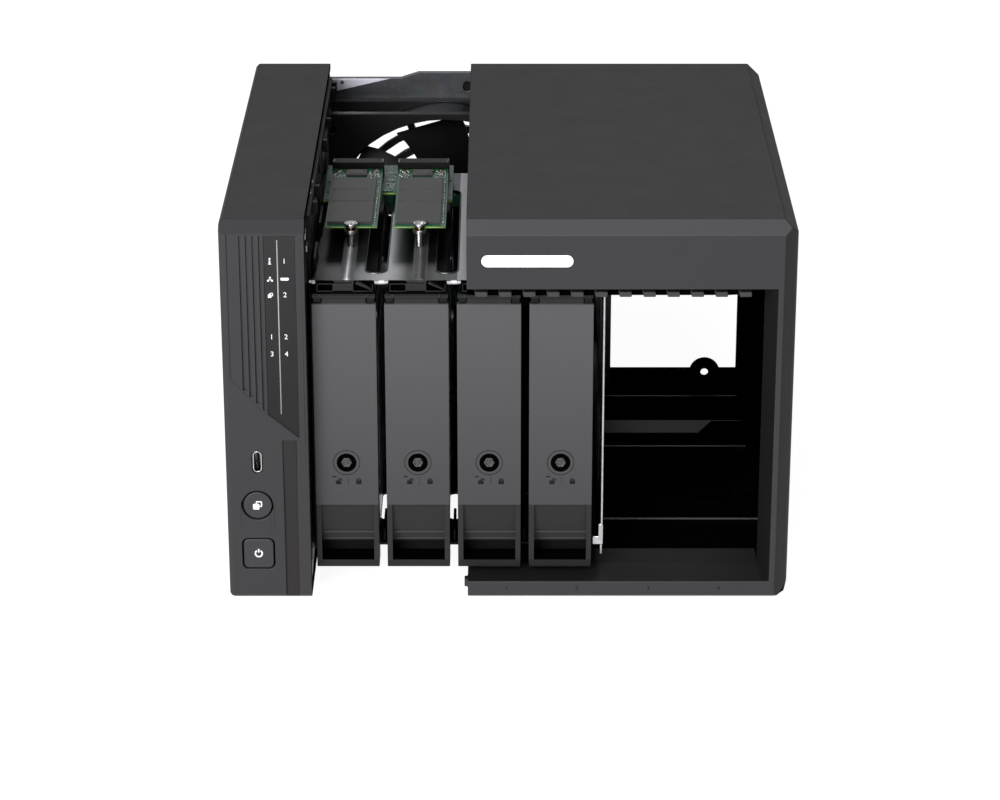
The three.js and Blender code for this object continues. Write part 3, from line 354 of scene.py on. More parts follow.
LOOKS = {
    "shell": moulded("graphite_shell", (0.0255, 0.0252, 0.0272), 0.50, 0.22, wear_and_sheen=0.05, specular=0.14),
    # painted highlight: a lighter copy of the graphite for the front top chamfer
    "shell_top_edge_highlight": moulded("shell_chamfer_painted_highlight", (0.044, 0.0435, 0.046), 0.46, 0.22, wear_and_sheen=0.05,
                          specular=0.16),
    # painted shade: a darker copy of the graphite for the right side
    "shell_side_painted_shade": moulded("shell_side_painted_shade", (0.0155, 0.0153, 0.0165), 0.5, 0.22, wear_and_sheen=0.05,
                          specular=0.14),
    # painted shade: near-black graphite for surfaces inside the shells
    "shell_inside_shade": moulded("graphite_inside_painted_shade", grey(0.0009), 0.7, 0.2, specular=0.0),
    # painted shade: darker copies of the graphite for the housing's inner floor, lip and jamb
    "rib": moulded("floor_painted_shade", (0.0065, 0.0065, 0.0068), 0.5, 0.2, specular=0.15),
    # painted highlight along the tops of the floor ribs
    "rib_top": moulded("rib_painted_highlight", (0.045, 0.045, 0.046), 0.4, 0.2, specular=0.3),
    "lip": moulded("inner_lip_painted_shade", (0.0055, 0.0055, 0.0058), 0.5, 0.2, specular=0.15),
    "jamb": moulded("graphite_jamb_painted_shade", (0.0075, 0.0075, 0.008), 0.5, 0.2, specular=0.15),
    "tooth": moulded("comb_teeth", (0.026, 0.026, 0.027), 0.5, 0.2, wear_and_sheen=0.05, specular=0.3),
    "groove": moulded("groove_plastic", (0.0135, 0.0120, 0.0118), 0.42, 0.15),
    "button": moulded("graphite_button", (0.021, 0.021, 0.023), 0.42, 0.18, wear_and_sheen=0.08, specular=0.3),
    "tray": moulded("tray_grey", (0.047, 0.0465, 0.050), 0.48, 0.14, wear_and_sheen=0.04, spread=0.02,
                    painted_fade=PLATE_PAINTED_FADE),
    # painted shade: darker copies of the tray plastic for the handle's recess and bar
    "recess": moulded("tray_recess_painted_shade", (0.0125, 0.0125, 0.013), 0.42, 0.2, wear_and_sheen=0.10),
    # painted highlight: a lighter copy of the tray plastic for the grip ridges
    "ridge": moulded("grip_ridges_painted_highlight", (0.030, 0.030, 0.031), 0.42, 0.2, wear_and_sheen=0.10),
    "bar": moulded("tray_bar_painted_shade", (0.0075, 0.0075, 0.0078), 0.42, 0.2, wear_and_sheen=0.15),
    # pitch black plastic, also used as painted shade in cavities and on faces turned from the light
    "pitch": moulded("pitch_black_and_painted_shade", grey(0.0009), 0.65, 0.2, specular=0.0),
    "black": moulded("black_plastic", (0.0022, 0.0022, 0.0024), 0.45, 0.3, wear_and_sheen=0.06, specular=0.16),
    "fan": moulded("fan_plastic", (0.0040, 0.0040, 0.0042), 0.42, 0.12, wear_and_sheen=0.05),
    "header": moulded("tray_header", (0.0085, 0.0085, 0.0090), 0.42, 0.2, wear_and_sheen=0.08),
    "lock_core": moulded("lock_core", (0.038, 0.038, 0.039), 0.36, 0.2, wear_and_sheen=0.2, specular=0.3),
    "window": smoked("indicator_window"),
    "steel": galvanised("galvanised_steel", (0.118, 0.122, 0.132)),
    # painted reflection and painted shade across the slotted cage top
    "cage_top": galvanised("slotted_sheet", (0.46, 0.465, 0.49), 0.36,
                           bands=(SLOT_X + SLOT_HALF, SLOT_PITCH, SLOT_PAINTED_SHEEN, 66)),
    # painted shade: a near-black copy of the galvanised steel for the cage inside the unit
    "cage_steel_painted_shade": galvanised("cage_steel_painted_shade", (0.018, 0.018, 0.020), 0.4),
    # pale tint with a painted highlight across each bead
    "bead": galvanised("bead_painted_highlight", (0.80, 0.80, 0.84), 0.5, ripple=0.01, metallic=0.4,
                       bands=(BEAD_X - BEAD_HALF, BEAD_PITCH, BEAD_GLEAM, 30)),
    # painted reflection: a pale sheet standing for light caught on the rear panel
    "wedge": galvanised("painted_reflection_zinc", (0.78, 0.77, 0.86), 0.45),
    "bright": turned("plated_steel", (0.55, 0.55, 0.57), 0.24),
    "brass": turned("brass", (0.60, 0.40, 0.15), 0.26),
    "gold": turned("gold_contacts", (0.72, 0.50, 0.18), 0.22),
    "cast": cast("cast_aluminium", (0.32, 0.33, 0.35)),
    "circuit": circuit("circuit_board", (0.006, 0.062, 0.038)),
    "module": circuit("module_board", (0.008, 0.095, 0.040)),
    "laminate": printed("board_edge", (0.20, 0.30, 0.06), 0.5),
    "chip": epoxy("chip_epoxy", (0.009, 0.009, 0.0095)),
    "flash": epoxy("flash_package", (0.021, 0.0205, 0.0215), 0.44),
    "white": printed("white_print", (0.62, 0.62, 0.64)),
    "pale_line": printed("pale_line", (0.26, 0.26, 0.27)),
    "dark_print": printed("dark_print", grey(0.007), 0.6, 0.08),
    "badge": printed("badge_plate", (0.72, 0.72, 0.74), 0.3),
    "rubber": rubbery("foot_rubber"),
    "ceramic": printed("ceramic_parts", (0.26, 0.26, 0.23), 0.5),
    "blue": printed("blue_tongue", (0.02, 0.07, 0.30), 0.4),
    "green_light": printed("green_lens", (0.05, 0.35, 0.08), 0.25),
}

# ------------------------------------------------------------------ mesh building


SHARP = math.radians(28)
SLIGHT, BROAD = math.radians(4), 9 * MM


def face_width(face, edge):
    """How far a face reaches from one of its edges."""
    start, end = (v.co for v in edge.verts)
    along = (end - start).normalized()
    return max((v.co - start - along * along.dot(v.co - start)).length for v in face.verts)


def mark_creases(bm, bevel, width_at):
    """Parts the shading at each crease and gives it a bevel weight that its faces have room for.

    A crease is a steep edge, or a slight one between two broad faces. bevel is the broadest
    width in millimetres; width_at(x, y, z) may give less at some places.
    """
    weights = bm.edges.layers.float.new("bevel_weight_edge")
    for edge in bm.edges:
        if len(edge.link_faces) != 2 or edge.calc_length() < 1e-7:
            continue
        angle = edge.calc_face_angle(0)
        reach = min(face_width(face, edge) for face in edge.link_faces)
        if angle > SHARP or (angle > SLIGHT and reach > BROAD):
            edge.smooth = False
            if bevel:
                middle = ((edge.verts[0].co + edge.verts[1].co) / 2 - ORIGIN) / MM
                wanted = width_at(*middle) if width_at else bevel
                edge[weights] = min(wanted, 0.38 * reach / MM) / bevel


def settle(piece, look, body, bevel, segments, replaces):
    """The last steps of every piece: shading, material, body and what it stands for."""
    for polygon in piece.data.polygons:
        polygon.use_smooth = True
    if bevel:
        modifier = piece.modifiers.new("soft_edges", "BEVEL")
        modifier.width = bevel * MM
        modifier.segments = segments
        modifier.limit_method = "WEIGHT"
        modifier.use_clamp_overlap = False
        flatten = piece.modifiers.new("flat_faces", "WEIGHTED_NORMAL")
        flatten.keep_sharp = True
        flatten.weight = 100
    piece.data.materials.clear()
    piece.data.materials.append(LOOKS[look])
    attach(piece, body)
    if replaces:
        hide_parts(*replaces)
    return piece


def new_piece(name, bm, bevel, width_at=None):
    """A mesh object from bm, its creases marked for shading and bevel."""
    bmesh.ops.recalc_face_normals(bm, faces=bm.faces)
    mark_creases(bm, bevel, width_at)
    if bevel:
        bmesh.ops.connect_verts_concave(bm, faces=bm.faces)
    mesh = bpy.data.meshes.new(name)
    bm.to_mesh(mesh)
    bm.free()
    piece = bpy.data.objects.new(name, mesh)
    bpy.context.scene.collection.objects.link(piece)
    return piece


def refined(node, look, bevel=0.3, segments=2, width_at=None, cuts=()):
    """A clean copy of a CAD node: flat faces merged, edges softened, textured.

    cuts are heights in millimetres at which its faces are parted, to take different looks.
    """
    source = frame["nodes"][node]
    bm = bmesh.new()
    bm.from_mesh(source.data)
    bmesh.ops.remove_doubles(bm, verts=bm.verts, dist=1e-6)
    bmesh.ops.dissolve_limit(bm, angle_limit=math.radians(0.08), verts=bm.verts, edges=bm.edges)
    for height in cuts:
        parts = [*bm.verts, *bm.edges, *bm.faces]
        bmesh.ops.bisect_plane(bm, geom=parts, dist=0.02 * MM, plane_co=place(0, 0, height),
                               plane_no=(0, 0, 1))
    piece = new_piece(node + "_look", bm, bevel, width_at)
    return settle(piece, look, source["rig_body"], bevel, segments, (node,))


def paint(piece, look, chosen):
    """Gives a second look to the faces for which chosen(x, y, z, normal) holds, in millimetres."""
    piece.data.materials.append(LOOKS[look])
    index = len(piece.data.materials) - 1
    for polygon in piece.data.polygons:
        x, y, z = (polygon.center - ORIGIN) / MM
        if chosen(x, y, z, polygon.normal):
            polygon.material_index = index


AXES = {"x": (1, 2, 0), "y": (0, 2, 1), "z": (0, 1, 2)}


def across(axis, u, v, level):
    """A point from its two places across an axis and its level along it."""
    a, b, c = AXES[axis]
    point = [0.0, 0.0, 0.0]
    point[a], point[b], point[c] = u, v, level
    return point


class Solids:
    """Closed solids gathered in layout millimetres and made into one piece."""

    def __init__(self):
        self.bm = bmesh.new()

    def loft(self, sections):
        """Rings of points, end to end, closed by a face at each end."""
        rings = [[self.bm.verts.new(p) for p in section] for section in sections]
        for lower, upper in zip(rings, rings[1:]):
            self.band(lower, upper)
        self.bm.faces.new(list(reversed(rings[0])))
        self.bm.faces.new(rings[-1])
        return self

    def prism(self, axis, points, low, high):
        """An outline in the other two axes, pulled along axis from low to high."""
        return self.loft([[across(axis, u, v, level) for u, v in points] for level in (low, high)])

    def box(self, x0, x1, y0, y1, z0, z1):
        return self.prism("z", ((x0, y0), (x1, y0), (x1, y1), (x0, y1)), z0, z1)

    def round_box(self, axis, a0, a1, b0, b1, radius, low, high, steps=5):
        return self.prism(axis, rounded(a0, a1, b0, b1, radius, steps), low, high)

    def turned(self, axis, centre, profile, segments=32):
        """A profile of (radius, level) turned about axis through centre, in the other two axes."""
        turns = [math.tau * k / segments for k in range(segments)]
        return self.loft([[across(axis, centre[0] + radius * math.cos(turn),
                                  centre[1] + radius * math.sin(turn), level) for turn in turns]
                          for radius, level in profile])

    def disc(self, axis, centre, radius, low, high, segments=32):
        return self.turned(axis, centre, ((radius, low), (radius, high)), segments)

    def ring(self, axis, centre, inner, outer, low, high, segments=40, start=0.0, sweep=math.tau):
        """A flat ring, or part of one, from start through sweep."""
        closed = sweep > math.tau - 1e-6
        steps = segments if closed else segments + 1
        rings = []
        for k in range(steps):
            angle = start + sweep * k / segments
            corner = []
            for radius, level in ((inner, low), (outer, low), (outer, high), (inner, high)):
                point = across(axis, centre[0] + radius * math.cos(angle),
                               centre[1] + radius * math.sin(angle), level)
                corner.append(self.bm.verts.new(point))
            rings.append(corner)
        pairs = list(zip(rings, rings[1:]))
        if closed:
            pairs.append((rings[-1], rings[0]))
        for first, second in pairs:
            self.band(first, second)
        if not closed:
            self.bm.faces.new(list(reversed(rings[0])))
            self.bm.faces.new(rings[-1])
        return self

    def band(self, first, second):
        """Faces between two closed loops of as many vertices."""
        for i in range(len(first)):
            j = (i + 1) % len(first)
            self.bm.faces.new((first[i], first[j], second[j], second[i]))

    def text(self, words, x, z, size, y, depth=0.06):
        """Plain numerals on the front, centred at x, z, standing proud of y towards the front."""
        curve = bpy.data.curves.new("numeral", "FONT")
        curve.body = words
        curve.size = size
        curve.align_x = "CENTER"
        curve.align_y = "CENTER"
        curve.extrude = depth / 2
        curve.resolution_u = 3
        holder = bpy.data.objects.new("numeral", curve)
        bpy.context.scene.collection.objects.link(holder)
        bpy.context.view_layer.update()
        mesh = bpy.data.meshes.new_from_object(holder)
        upright = Matrix.Translation((x, y, z)) @ Matrix.Rotation(math.pi / 2, 4, "X")
        mesh.transform(upright)
        self.bm.from_mesh(mesh)
        bpy.data.objects.remove(holder)
        bpy.data.meshes.remove(mesh)
        return self

    def tube(self, axis, outer, inner, low, high):
        """A prism with a hole: outer and inner are outlines with as many points."""
        loops = [[self.bm.verts.new(across(axis, u, v, level)) for u, v in points]
                 for points, level in ((inner, low), (outer, low), (outer, high), (inner, high))]
        for first, second in zip(loops, loops[1:] + loops[:1]):
            self.band(first, second)
        return self

    def piece(self, name, look, slot, body="chassis", bevel=0.0, segments=2, replaces=()):
        bmesh.ops.remove_doubles(self.bm, verts=self.bm.verts, dist=1e-5)
        for vertex in self.bm.verts:
            vertex.co = place(*vertex.co)
        made = new_piece(name, self.bm, bevel)
        return settle(made, look, body, bevel, segments, replaces)


def rounded(a0, a1, b0, b1, radius, steps=5):
    """A rectangle's outline with round corners."""
    corners = ((a1 - radius, b0 + radius, -90), (a1 - radius, b1 - radius, 0),
               (a0 + radius, b1 - radius, 90), (a0 + radius, b0 + radius, 180))
    points = []
    for a, b, start in corners:
        for k in range(steps + 1):
            angle = math.radians(start + 90 * k / steps)
            points.append((a + radius * math.cos(angle), b + radius * math.sin(angle)))
    return points


# ------------------------------------------------------------------ camera, light and floor


CAMERA_AT = place(113.9, -1243.9, 596.9)
CAMERA_PITCH, CAMERA_LENS = math.radians(22.17), 117.5


def make_camera():
    camera = bpy.data.cameras.new("camera")
    camera.lens = CAMERA_LENS
    camera.sensor_width = 36
    camera.clip_start = 0.05
    camera.clip_end = 20
    holder = bpy.data.objects.new("camera", camera)
    bpy.context.scene.collection.objects.link(holder)
    holder.location = CAMERA_AT
    holder.rotation_euler = (math.pi / 2 - CAMERA_PITCH, 0, 0)
    bpy.context.scene.camera = holder


def area_light(name, place_at, look_at, size, power):
    """A rectangular lamp; places and size in metres, power in watts."""
    lamp = bpy.data.lights.new(name, "AREA")
    lamp.shape = "RECTANGLE"
    lamp.size, lamp.size_y = size
    lamp.energy = power
    holder = bpy.data.objects.new(name, lamp)
    bpy.context.scene.collection.objects.link(holder)
    holder.location = place_at
    aim = Vector(look_at) - Vector(place_at)
    holder.rotation_euler = aim.to_track_quat("-Z", "Y").to_euler()


def make_stage():
    bm = bmesh.new()
    bmesh.ops.create_grid(bm, x_segments=8, y_segments=8, size=FLOOR_REACH)
    mesh = bpy.data.meshes.new("floor")
    bm.to_mesh(mesh)
    bm.free()
    floor = bpy.data.objects.new("floor", mesh)
    bpy.context.scene.collection.objects.link(floor)
    floor.location.z = -FLOOR_CLEARANCE
    mesh.materials.append(floor_surface("floor_paper"))

    world = bpy.data.worlds.new("studio")
    world.use_nodes = True
    background = world.node_tree.nodes["Background"]
    background.inputs["Color"].default_value = WORLD_COLOUR
    background.inputs["Strength"].default_value = WORLD_STRENGTH
    bpy.context.scene.world = world
    bpy.context.scene.view_settings.view_transform = "Standard"

    area_light("overhead", (-0.1, -1.45, 1.5), (0, 0, 0.1), (1.6, 1.0), 25)
    area_light("front", (-0.95, -1.85, 0.8), (0, 0, 0.08), (1.2, 0.9), 63)
    area_light("back_strip", (0.1, 1.5, 0.95), (0, 0, 0.1), (1.4, 0.3), 3)


make_camera()
make_stage()

# ------------------------------------------------------------------ left module

FRONT_Y = 0.0
SHELL_SLOT, BLACK_SLOT, STEEL_SLOT = "graphite_shell", "black_plastic", "galvanised_steel"
METAL_SLOT, BOARD_SLOT, WHITE_SLOT = "connector_steel", "circuit_board", "white_badge"
TRAY_SLOT, CAST_SLOT = "tray_grey", "cast_aluminium"


def left_module():
    def width_at(x, y, z):
        in_flutes = 7 < x < 17.6 and y < 1.4 and 60 < z < 163
        return 0.02 if in_flutes else 0.35

    def inside(x, y, z, n):
        return 2 < x < 34.6 and 2.7 < y < 227 and 2.7 < z < 164.3

    def groove(x, y, z, n):
        return 24 < x < 29.5 and z < 72 and y < 1.2
    cover = refined("left_side_cover", "shell", 0.35, 3, width_at)
    # painted shade over the cover's inner faces
    paint(cover, "shell_inside_shade", inside)
    paint(cover, "groove", groove)
    # painted shade on the cover's faces turned towards the drive cage
    paint(cover, "shell_inside_shade", lambda x, y, z, n: n.x > 0.5 and x > 33 and y > 0.3)
    wall = refined("chassis_wall", "black", 0.3)
    # painted shade on the wall's lower right face
    paint(wall, "pitch", lambda x, y, z, n: n.x > 0.5 and z < 60)
    for button in ("power_button", "copy_button"):
        refined(button, "button", 0.35, 3)
    refined("usb_c_port", "bright", 0.12)
    window_prints()
    button_prints()
    socket_mouth()
    wall_springs()


def wall_springs():
    """Painted highlights on the top edge between inner wall and housing, shaped as contact springs."""
    springs = Solids()
    for y0, y1, z0 in ((4, 11, 158), (12, 19, 150), (47, 54, 160.5), (62, 66, 161)):
        springs.round_box("x", y0, y1, z0, z0 + 3.2, 0.8, 34.75, 35.15)
    springs.piece("wall_springs", "bright", METAL_SLOT, bevel=0.12)


WINDOW = ((18.35, 161.15), (30.85, 161.15), (30.85, 73.1), (18.35, 83.65))


def window_prints():
    """The indicator window: a pale dividing line, numerals and small status marks."""
    face = span("led_panel")[0].y
    panel = Solids()
    panel.prism("y", WINDOW, face, face + 1.1)
    panel.piece("led_panel_look", "window", "smoked_panel", bevel=0.05,
                replaces=("led_panel",))
    front, back = face - 0.06, face + 0.1
    line = Solids()
    line.box(23.5, 23.95, face - 0.05, back, 83.5, 159.4)
    line.piece("window_line", "pale_line", WHITE_SLOT)

    marks = Solids()
    left, right = 20.6, 26.5
    marks.disc("y", (left, 151.4), 0.4, front, back, 16)
    marks.box(left - 0.3, left + 0.3, front, back, 149.2, 150.7)
    marks.box(left - 0.6, left + 0.6, front, back, 149.0, 149.4)
    for dx, z in ((0, 143.3), (-0.8, 142.0), (0.8, 142.0)):
        marks.disc("y", (left + dx, z), 0.42, front, back, 16)
    marks.box(left - 0.8, left + 0.8, face - 0.05, back, 142.3, 142.55)
    twin_squares(marks, left, 135.7, 0.55, face)
    marks.round_box("y", right - 1.7, right + 1.7, 142.1, 143.3, 0.5, front, back)
    for words, x, z in (("1", right, 150.3), ("2", right, 135.8), ("1", left, 117.5),
                        ("2", right, 117.5), ("3", left, 110.0), ("4", right, 110.0)):
        marks.text(words, x, z, 3.1, face)
    marks.piece("window_marks", "white", WHITE_SLOT)


def twin_squares(solids, x, z, scale, face):
    """Two overlapping rounded squares, one filled and one an outline."""
    solids.round_box("y", x - 1.9 * scale, x + 0.7 * scale, z - 1.9 * scale, z + 0.7 * scale,
                     0.4 * scale, face - 0.07, face + 0.1)
    outer = rounded(x - 0.7 * scale, x + 1.9 * scale, z - 0.7 * scale, z + 1.9 * scale, 0.5 * scale)
    inner = rounded(x - 0.2 * scale, x + 1.4 * scale, z - 0.2 * scale, z + 1.4 * scale, 0.2 * scale)
    solids.tube("y", outer, inner, face - 0.06, face + 0.1)


def button_prints():
    for node, body in (("copy_button", "copy_key"), ("power_button", "power_key")):
        low, high = span(node)
        x, z, face = (low.x + high.x) / 2, (low.z + high.z) / 2, low.y
        icon = Solids()
        if node == "copy_button":
            twin_squares(icon, x, z, 1.0, face)
        else:
            gap = math.radians(60)
            icon.ring("y", (x, z), 1.15, 1.75, face - 0.06, face + 0.1, 32,
                      math.pi / 2 + gap / 2, math.tau - gap)
            icon.box(x - 0.3, x + 0.3, face - 0.06, face + 0.1, z + 0.5, z + 2.1)
        icon.piece(node + "_icon", "white", WHITE_SLOT, body)


def socket_mouth():
    """The front socket: a dark throat around its tongue, and contacts on the tongue."""
    low, high = span("usb_c_port")
    x, z = (low.x + high.x) / 2, (low.z + high.z) / 2
    throat = Solids()
    throat.tube("y", rounded(x - 1.42, x + 1.42, z - 4.22, z + 4.22, 1.38),
                rounded(x - 1.3, x + 1.3, z - 4.1, z + 4.1, 1.26), low.y + 0.35, 7.4)
    throat.box(x - 0.42, x + 0.42, low.y + 1.15, 7.6, z - 3.35, z + 3.35)
    throat.piece("usb_c_throat", "black", BLACK_SLOT, bevel=0.1)
    pads = Solids()
    for i in range(12):
        z0 = z - 2.9 + i * 0.5
        pads.box(x - 0.46, x - 0.4, low.y + 1.3, 6, z0, z0 + 0.28)
    pads.piece("usb_c_contacts", "gold", METAL_SLOT)


def left_module_inside():
    for board in ("front_io_board", "mainboard"):
        refined(board, "circuit", 0.1)
    refined("cpu_heatsink", "cast", 0.15)
    for i in (1, 2):
        memory = refined(f"memory_module_{i}", "circuit", 0.1)
        paint(memory, "chip", lambda x, y, z, n: x < 18.1 or x > 19.5)


left_module()
left_module_inside()

# ------------------------------------------------------------------ drive trays


def tray_front(bay):
    low, high = span(f"tray_handle_{bay}")
    x, face, body = (low.x + high.x) / 2, low.y, f"handle_{bay}"
    lock_low, lock_high = span(f"tray_lock_{bay}")
    lock_z = (lock_low.z + lock_high.z) / 2
    recess_top = 38.9
    plate_top = 128.7

    bar_top = 13.5
    rim_width, inner_half = 0.25, 12.2

    def width_at(px, y, z):
        return 0 if z < recess_top + 0.2 and abs(px - x) < inner_half else rim_width
    handle = refined(f"tray_handle_{bay}", "tray", rim_width, 3, width_at,
                     (recess_top, bar_top))
    # painted shade in the handle's recess and above the plate
    paint(handle, "recess", lambda px, y, z, n: z < recess_top or z > plate_top)
    # painted shade on the bar below the recess
    paint(handle, "bar", lambda px, y, z, n: z < bar_top + 0.2)
    # painted shade in the cavity behind the handle's bar
    paint(handle, "pitch", lambda px, y, z, n: z < 20 and y > face + 0.6 and (
        n.z > 0.3 or (abs(n.x) > 0.5 and abs(px - x) < 12)))

    # painted highlight: lighter strips along the grip ridges
    lines = Solids()
    for y, z in ((13.3, 24.5), (15.5, 20.7)):
        lines.box(x - 11.4, x + 11.4, y - 0.1, y + 0.4, z - 0.35, z + 0.35)
    lines.piece(f"grip_lines_{bay}", "ridge", TRAY_SLOT, body, 0.1)

    ring = Solids()
    ring.ring("y", (x, lock_z), 5.35, 5.7, face - 0.06, face + 0.2, 48)
    ring.box(x + 0.5, x + 0.7, face - 0.05, face + 0.1, 48.0, 51.8)
    ring.piece(f"lock_ring_{bay}", "bar", TRAY_SLOT, body)

    rim = Solids()
    rim.ring("y", (x, lock_z), 3.5, 4.15, face - 0.12, face + 0.6, 40)
    rim.piece(f"lock_rim_{bay}", "pitch", BLACK_SLOT, body, 0.1)

    icons = Solids()
    for dx, turn in ((-3.5, 0.75), (5.0, 0.0)):
        icons.round_box("y", x + dx - 1.15, x + dx + 1.15, 48.3, 50.0, 0.3, face - 0.05, face + 0.1)
        icons.ring("y", (x + dx + turn, 50.0), 0.5, 1.0, face - 0.05, face + 0.1, 14, 0, math.pi)
    icons.box(x - 6.1, x - 4.3, face - 0.05, face + 0.1, 51.5, 52.0)
    icons.piece(f"lock_marks_{bay}", "dark_print", BLACK_SLOT, body)


def tray_lock(bay):
    low, high = span(f"tray_lock_{bay}")
    x, z, face = (low.x + high.x) / 2, (low.z + high.z) / 2, low.y
    body = f"lock_{bay}"
    barrel = Solids()
    barrel.turned("y", (x, z), ((3.38, face + 3.8), (3.38, face + 0.25), (3.15, face + 0.02),
                                (2.75, face + 0.02), (2.35, face + 0.7), (0.4, face + 0.75)), 40)
    barrel.piece(f"lock_barrel_{bay}", "pitch", BLACK_SLOT, body, replaces=(f"tray_lock_{bay}",))
    core = Solids()
    core.turned("y", (x, z), ((2.3, face + 0.8), (2.25, face + 0.3), (1.9, face + 0.12),
                              (1.2, face + 0.5), (0.3, face + 0.55)), 6)
    core.box(x - 0.35, x + 0.35, face + 0.1, face + 0.7, z - 1.6, z + 1.6)
    core.piece(f"lock_core_{bay}", "lock_core", BLACK_SLOT, body, 0.08)


def tray_header(bay):
    """The dark ledge over the plate, clear of its swing, and the fixed catch above it."""
    frame_low, frame_high = span(f"tray_frame_{bay}")
    x, body = (frame_low.x + frame_high.x) / 2, f"tray_{bay}"
    refined(f"tray_frame_{bay}", "black", 0.25)
    strip = Solids()
    strip.box(x - 12.95, x + 12.95, 8.9, 9.25, 131.3, 133.1)
    strip.piece(f"header_strip_{bay}", "header", BLACK_SLOT, body, 0.15)
    line = Solids()
    line.box(x - 12.6, x + 12.6, 8.84, 9.0, 132.7, 132.9)
    line.piece(f"header_line_{bay}", "pitch", BLACK_SLOT, body)
    pins = Solids()
    for dx in (-9.6, 9.6):
        pins.turned("y", (x + dx, 132.1), ((0.7, 9.2), (0.7, 8.8), (0.5, 8.65), (0.2, 8.6)), 20)
    pins.piece(f"header_pins_{bay}", "header", BLACK_SLOT, body)

    catch = refined(f"tray_catch_{bay}", "pitch", 0.15)
    low, high = span(f"tray_catch_{bay}")
    paint(catch, "header", lambda px, y, z, n: abs(px - x) < 3.9 and z > low.z + 0.7)
    rims = Solids()
    front, back = low.y - 0.05, low.y + 0.25
    for x0, x1 in ((low.x + 0.7, low.x + 7.5), (high.x - 8.6, high.x - 0.4)):
        rims.box(x0, x1, front, back, low.z + 0.4, low.z + 0.7)
        rims.box(x0, x0 + 0.3, front, back, low.z + 0.4, high.z - 0.3)
        rims.box(x1 - 0.3, x1, front, back, low.z + 0.4, high.z - 0.3)
    rims.box(low.x + 0.7, low.x + 7.5, front, back, high.z - 0.5, high.z - 0.2)
    rims.piece(f"catch_rims_{bay}", "header", BLACK_SLOT, bevel=0.08)
    lever = Solids()
    lever.prism("y", ((high.x - 7.6, high.z - 0.3), (high.x - 6.6, high.z + 0.1),
                      (high.x - 1.0, low.z + 1.5), (high.x - 1.0, low.z + 0.9)), front, low.y + 2.2)
    lever.piece(f"catch_lever_{bay}", "header", BLACK_SLOT, bevel=0.1)


def hard_drive(bay):
    low, high = span(f"hard_drive_{bay}")
    x0, x1 = low.x, high.x
    body = f"tray_{bay}"
    drive = refined(f"hard_drive_{bay}", "cast", 0.5)
    paint(drive, "chip", lambda x, y, z, n: y > high.y - 5 and n.y > 0.5 and x0 + 0.5 < x < x0 + 6.5)
    y_mid, z_mid = (low.y + high.y) / 2, (low.z + high.z) / 2
    lid = Solids()
    lid.round_box("x", low.y + 2, high.y - 4, low.z + 2, high.z - 2, 5, x1 - 0.3, x1 + 0.12)
    lid.turned("x", (y_mid + 22, z_mid), ((19, x1), (19, x1 + 0.2), (17.5, x1 + 0.24), (6, x1 + 0.24),
                                          (5, x1 + 0.18)), 48)
    lid.piece(f"drive_lid_{bay}", "bright", CAST_SLOT, body, 0.15)
    label = Solids()
    label.round_box("x", low.y + 10, y_mid - 3, low.z + 16, high.z - 16, 1.5, x1 + 0.1, x1 + 0.2)
    label.piece(f"drive_label_{bay}", "white", CAST_SLOT, body)
    screws = Solids()
    for y in (low.y + 5, y_mid, high.y - 8):
        for z in (low.z + 4.5, high.z - 4.5):
            screws.turned("x", (y, z), ((1.9, x1), (1.9, x1 + 0.22), (1.2, x1 + 0.28)), 20)
    screws.piece(f"drive_screws_{bay}", "bright", CAST_SLOT, body)
    board = Solids()
    board.box(x0 + 1.3, x0 + 2.35, low.y + 30.4, high.y - 0.2, low.z + 8.4, high.z - 8.4)
    board.piece(f"drive_board_{bay}", "circuit", CAST_SLOT, body, 0.08)
    chips = Solids()
    for y, z, half in ((60, 60, 8), (95, 82, 6), (110, 50, 5), (125, 92, 4)):
        chips.box(x0 + 0.4, x0 + 1.4, y - half, y + half, z - half, z + half)
    chips.piece(f"drive_chips_{bay}", "chip", CAST_SLOT, body, 0.15)


for bay in BAYS:
    tray_front(bay)
    tray_lock(bay)
    tray_header(bay)
    hard_drive(bay)

# ------------------------------------------------------------------ cage, rear and fan


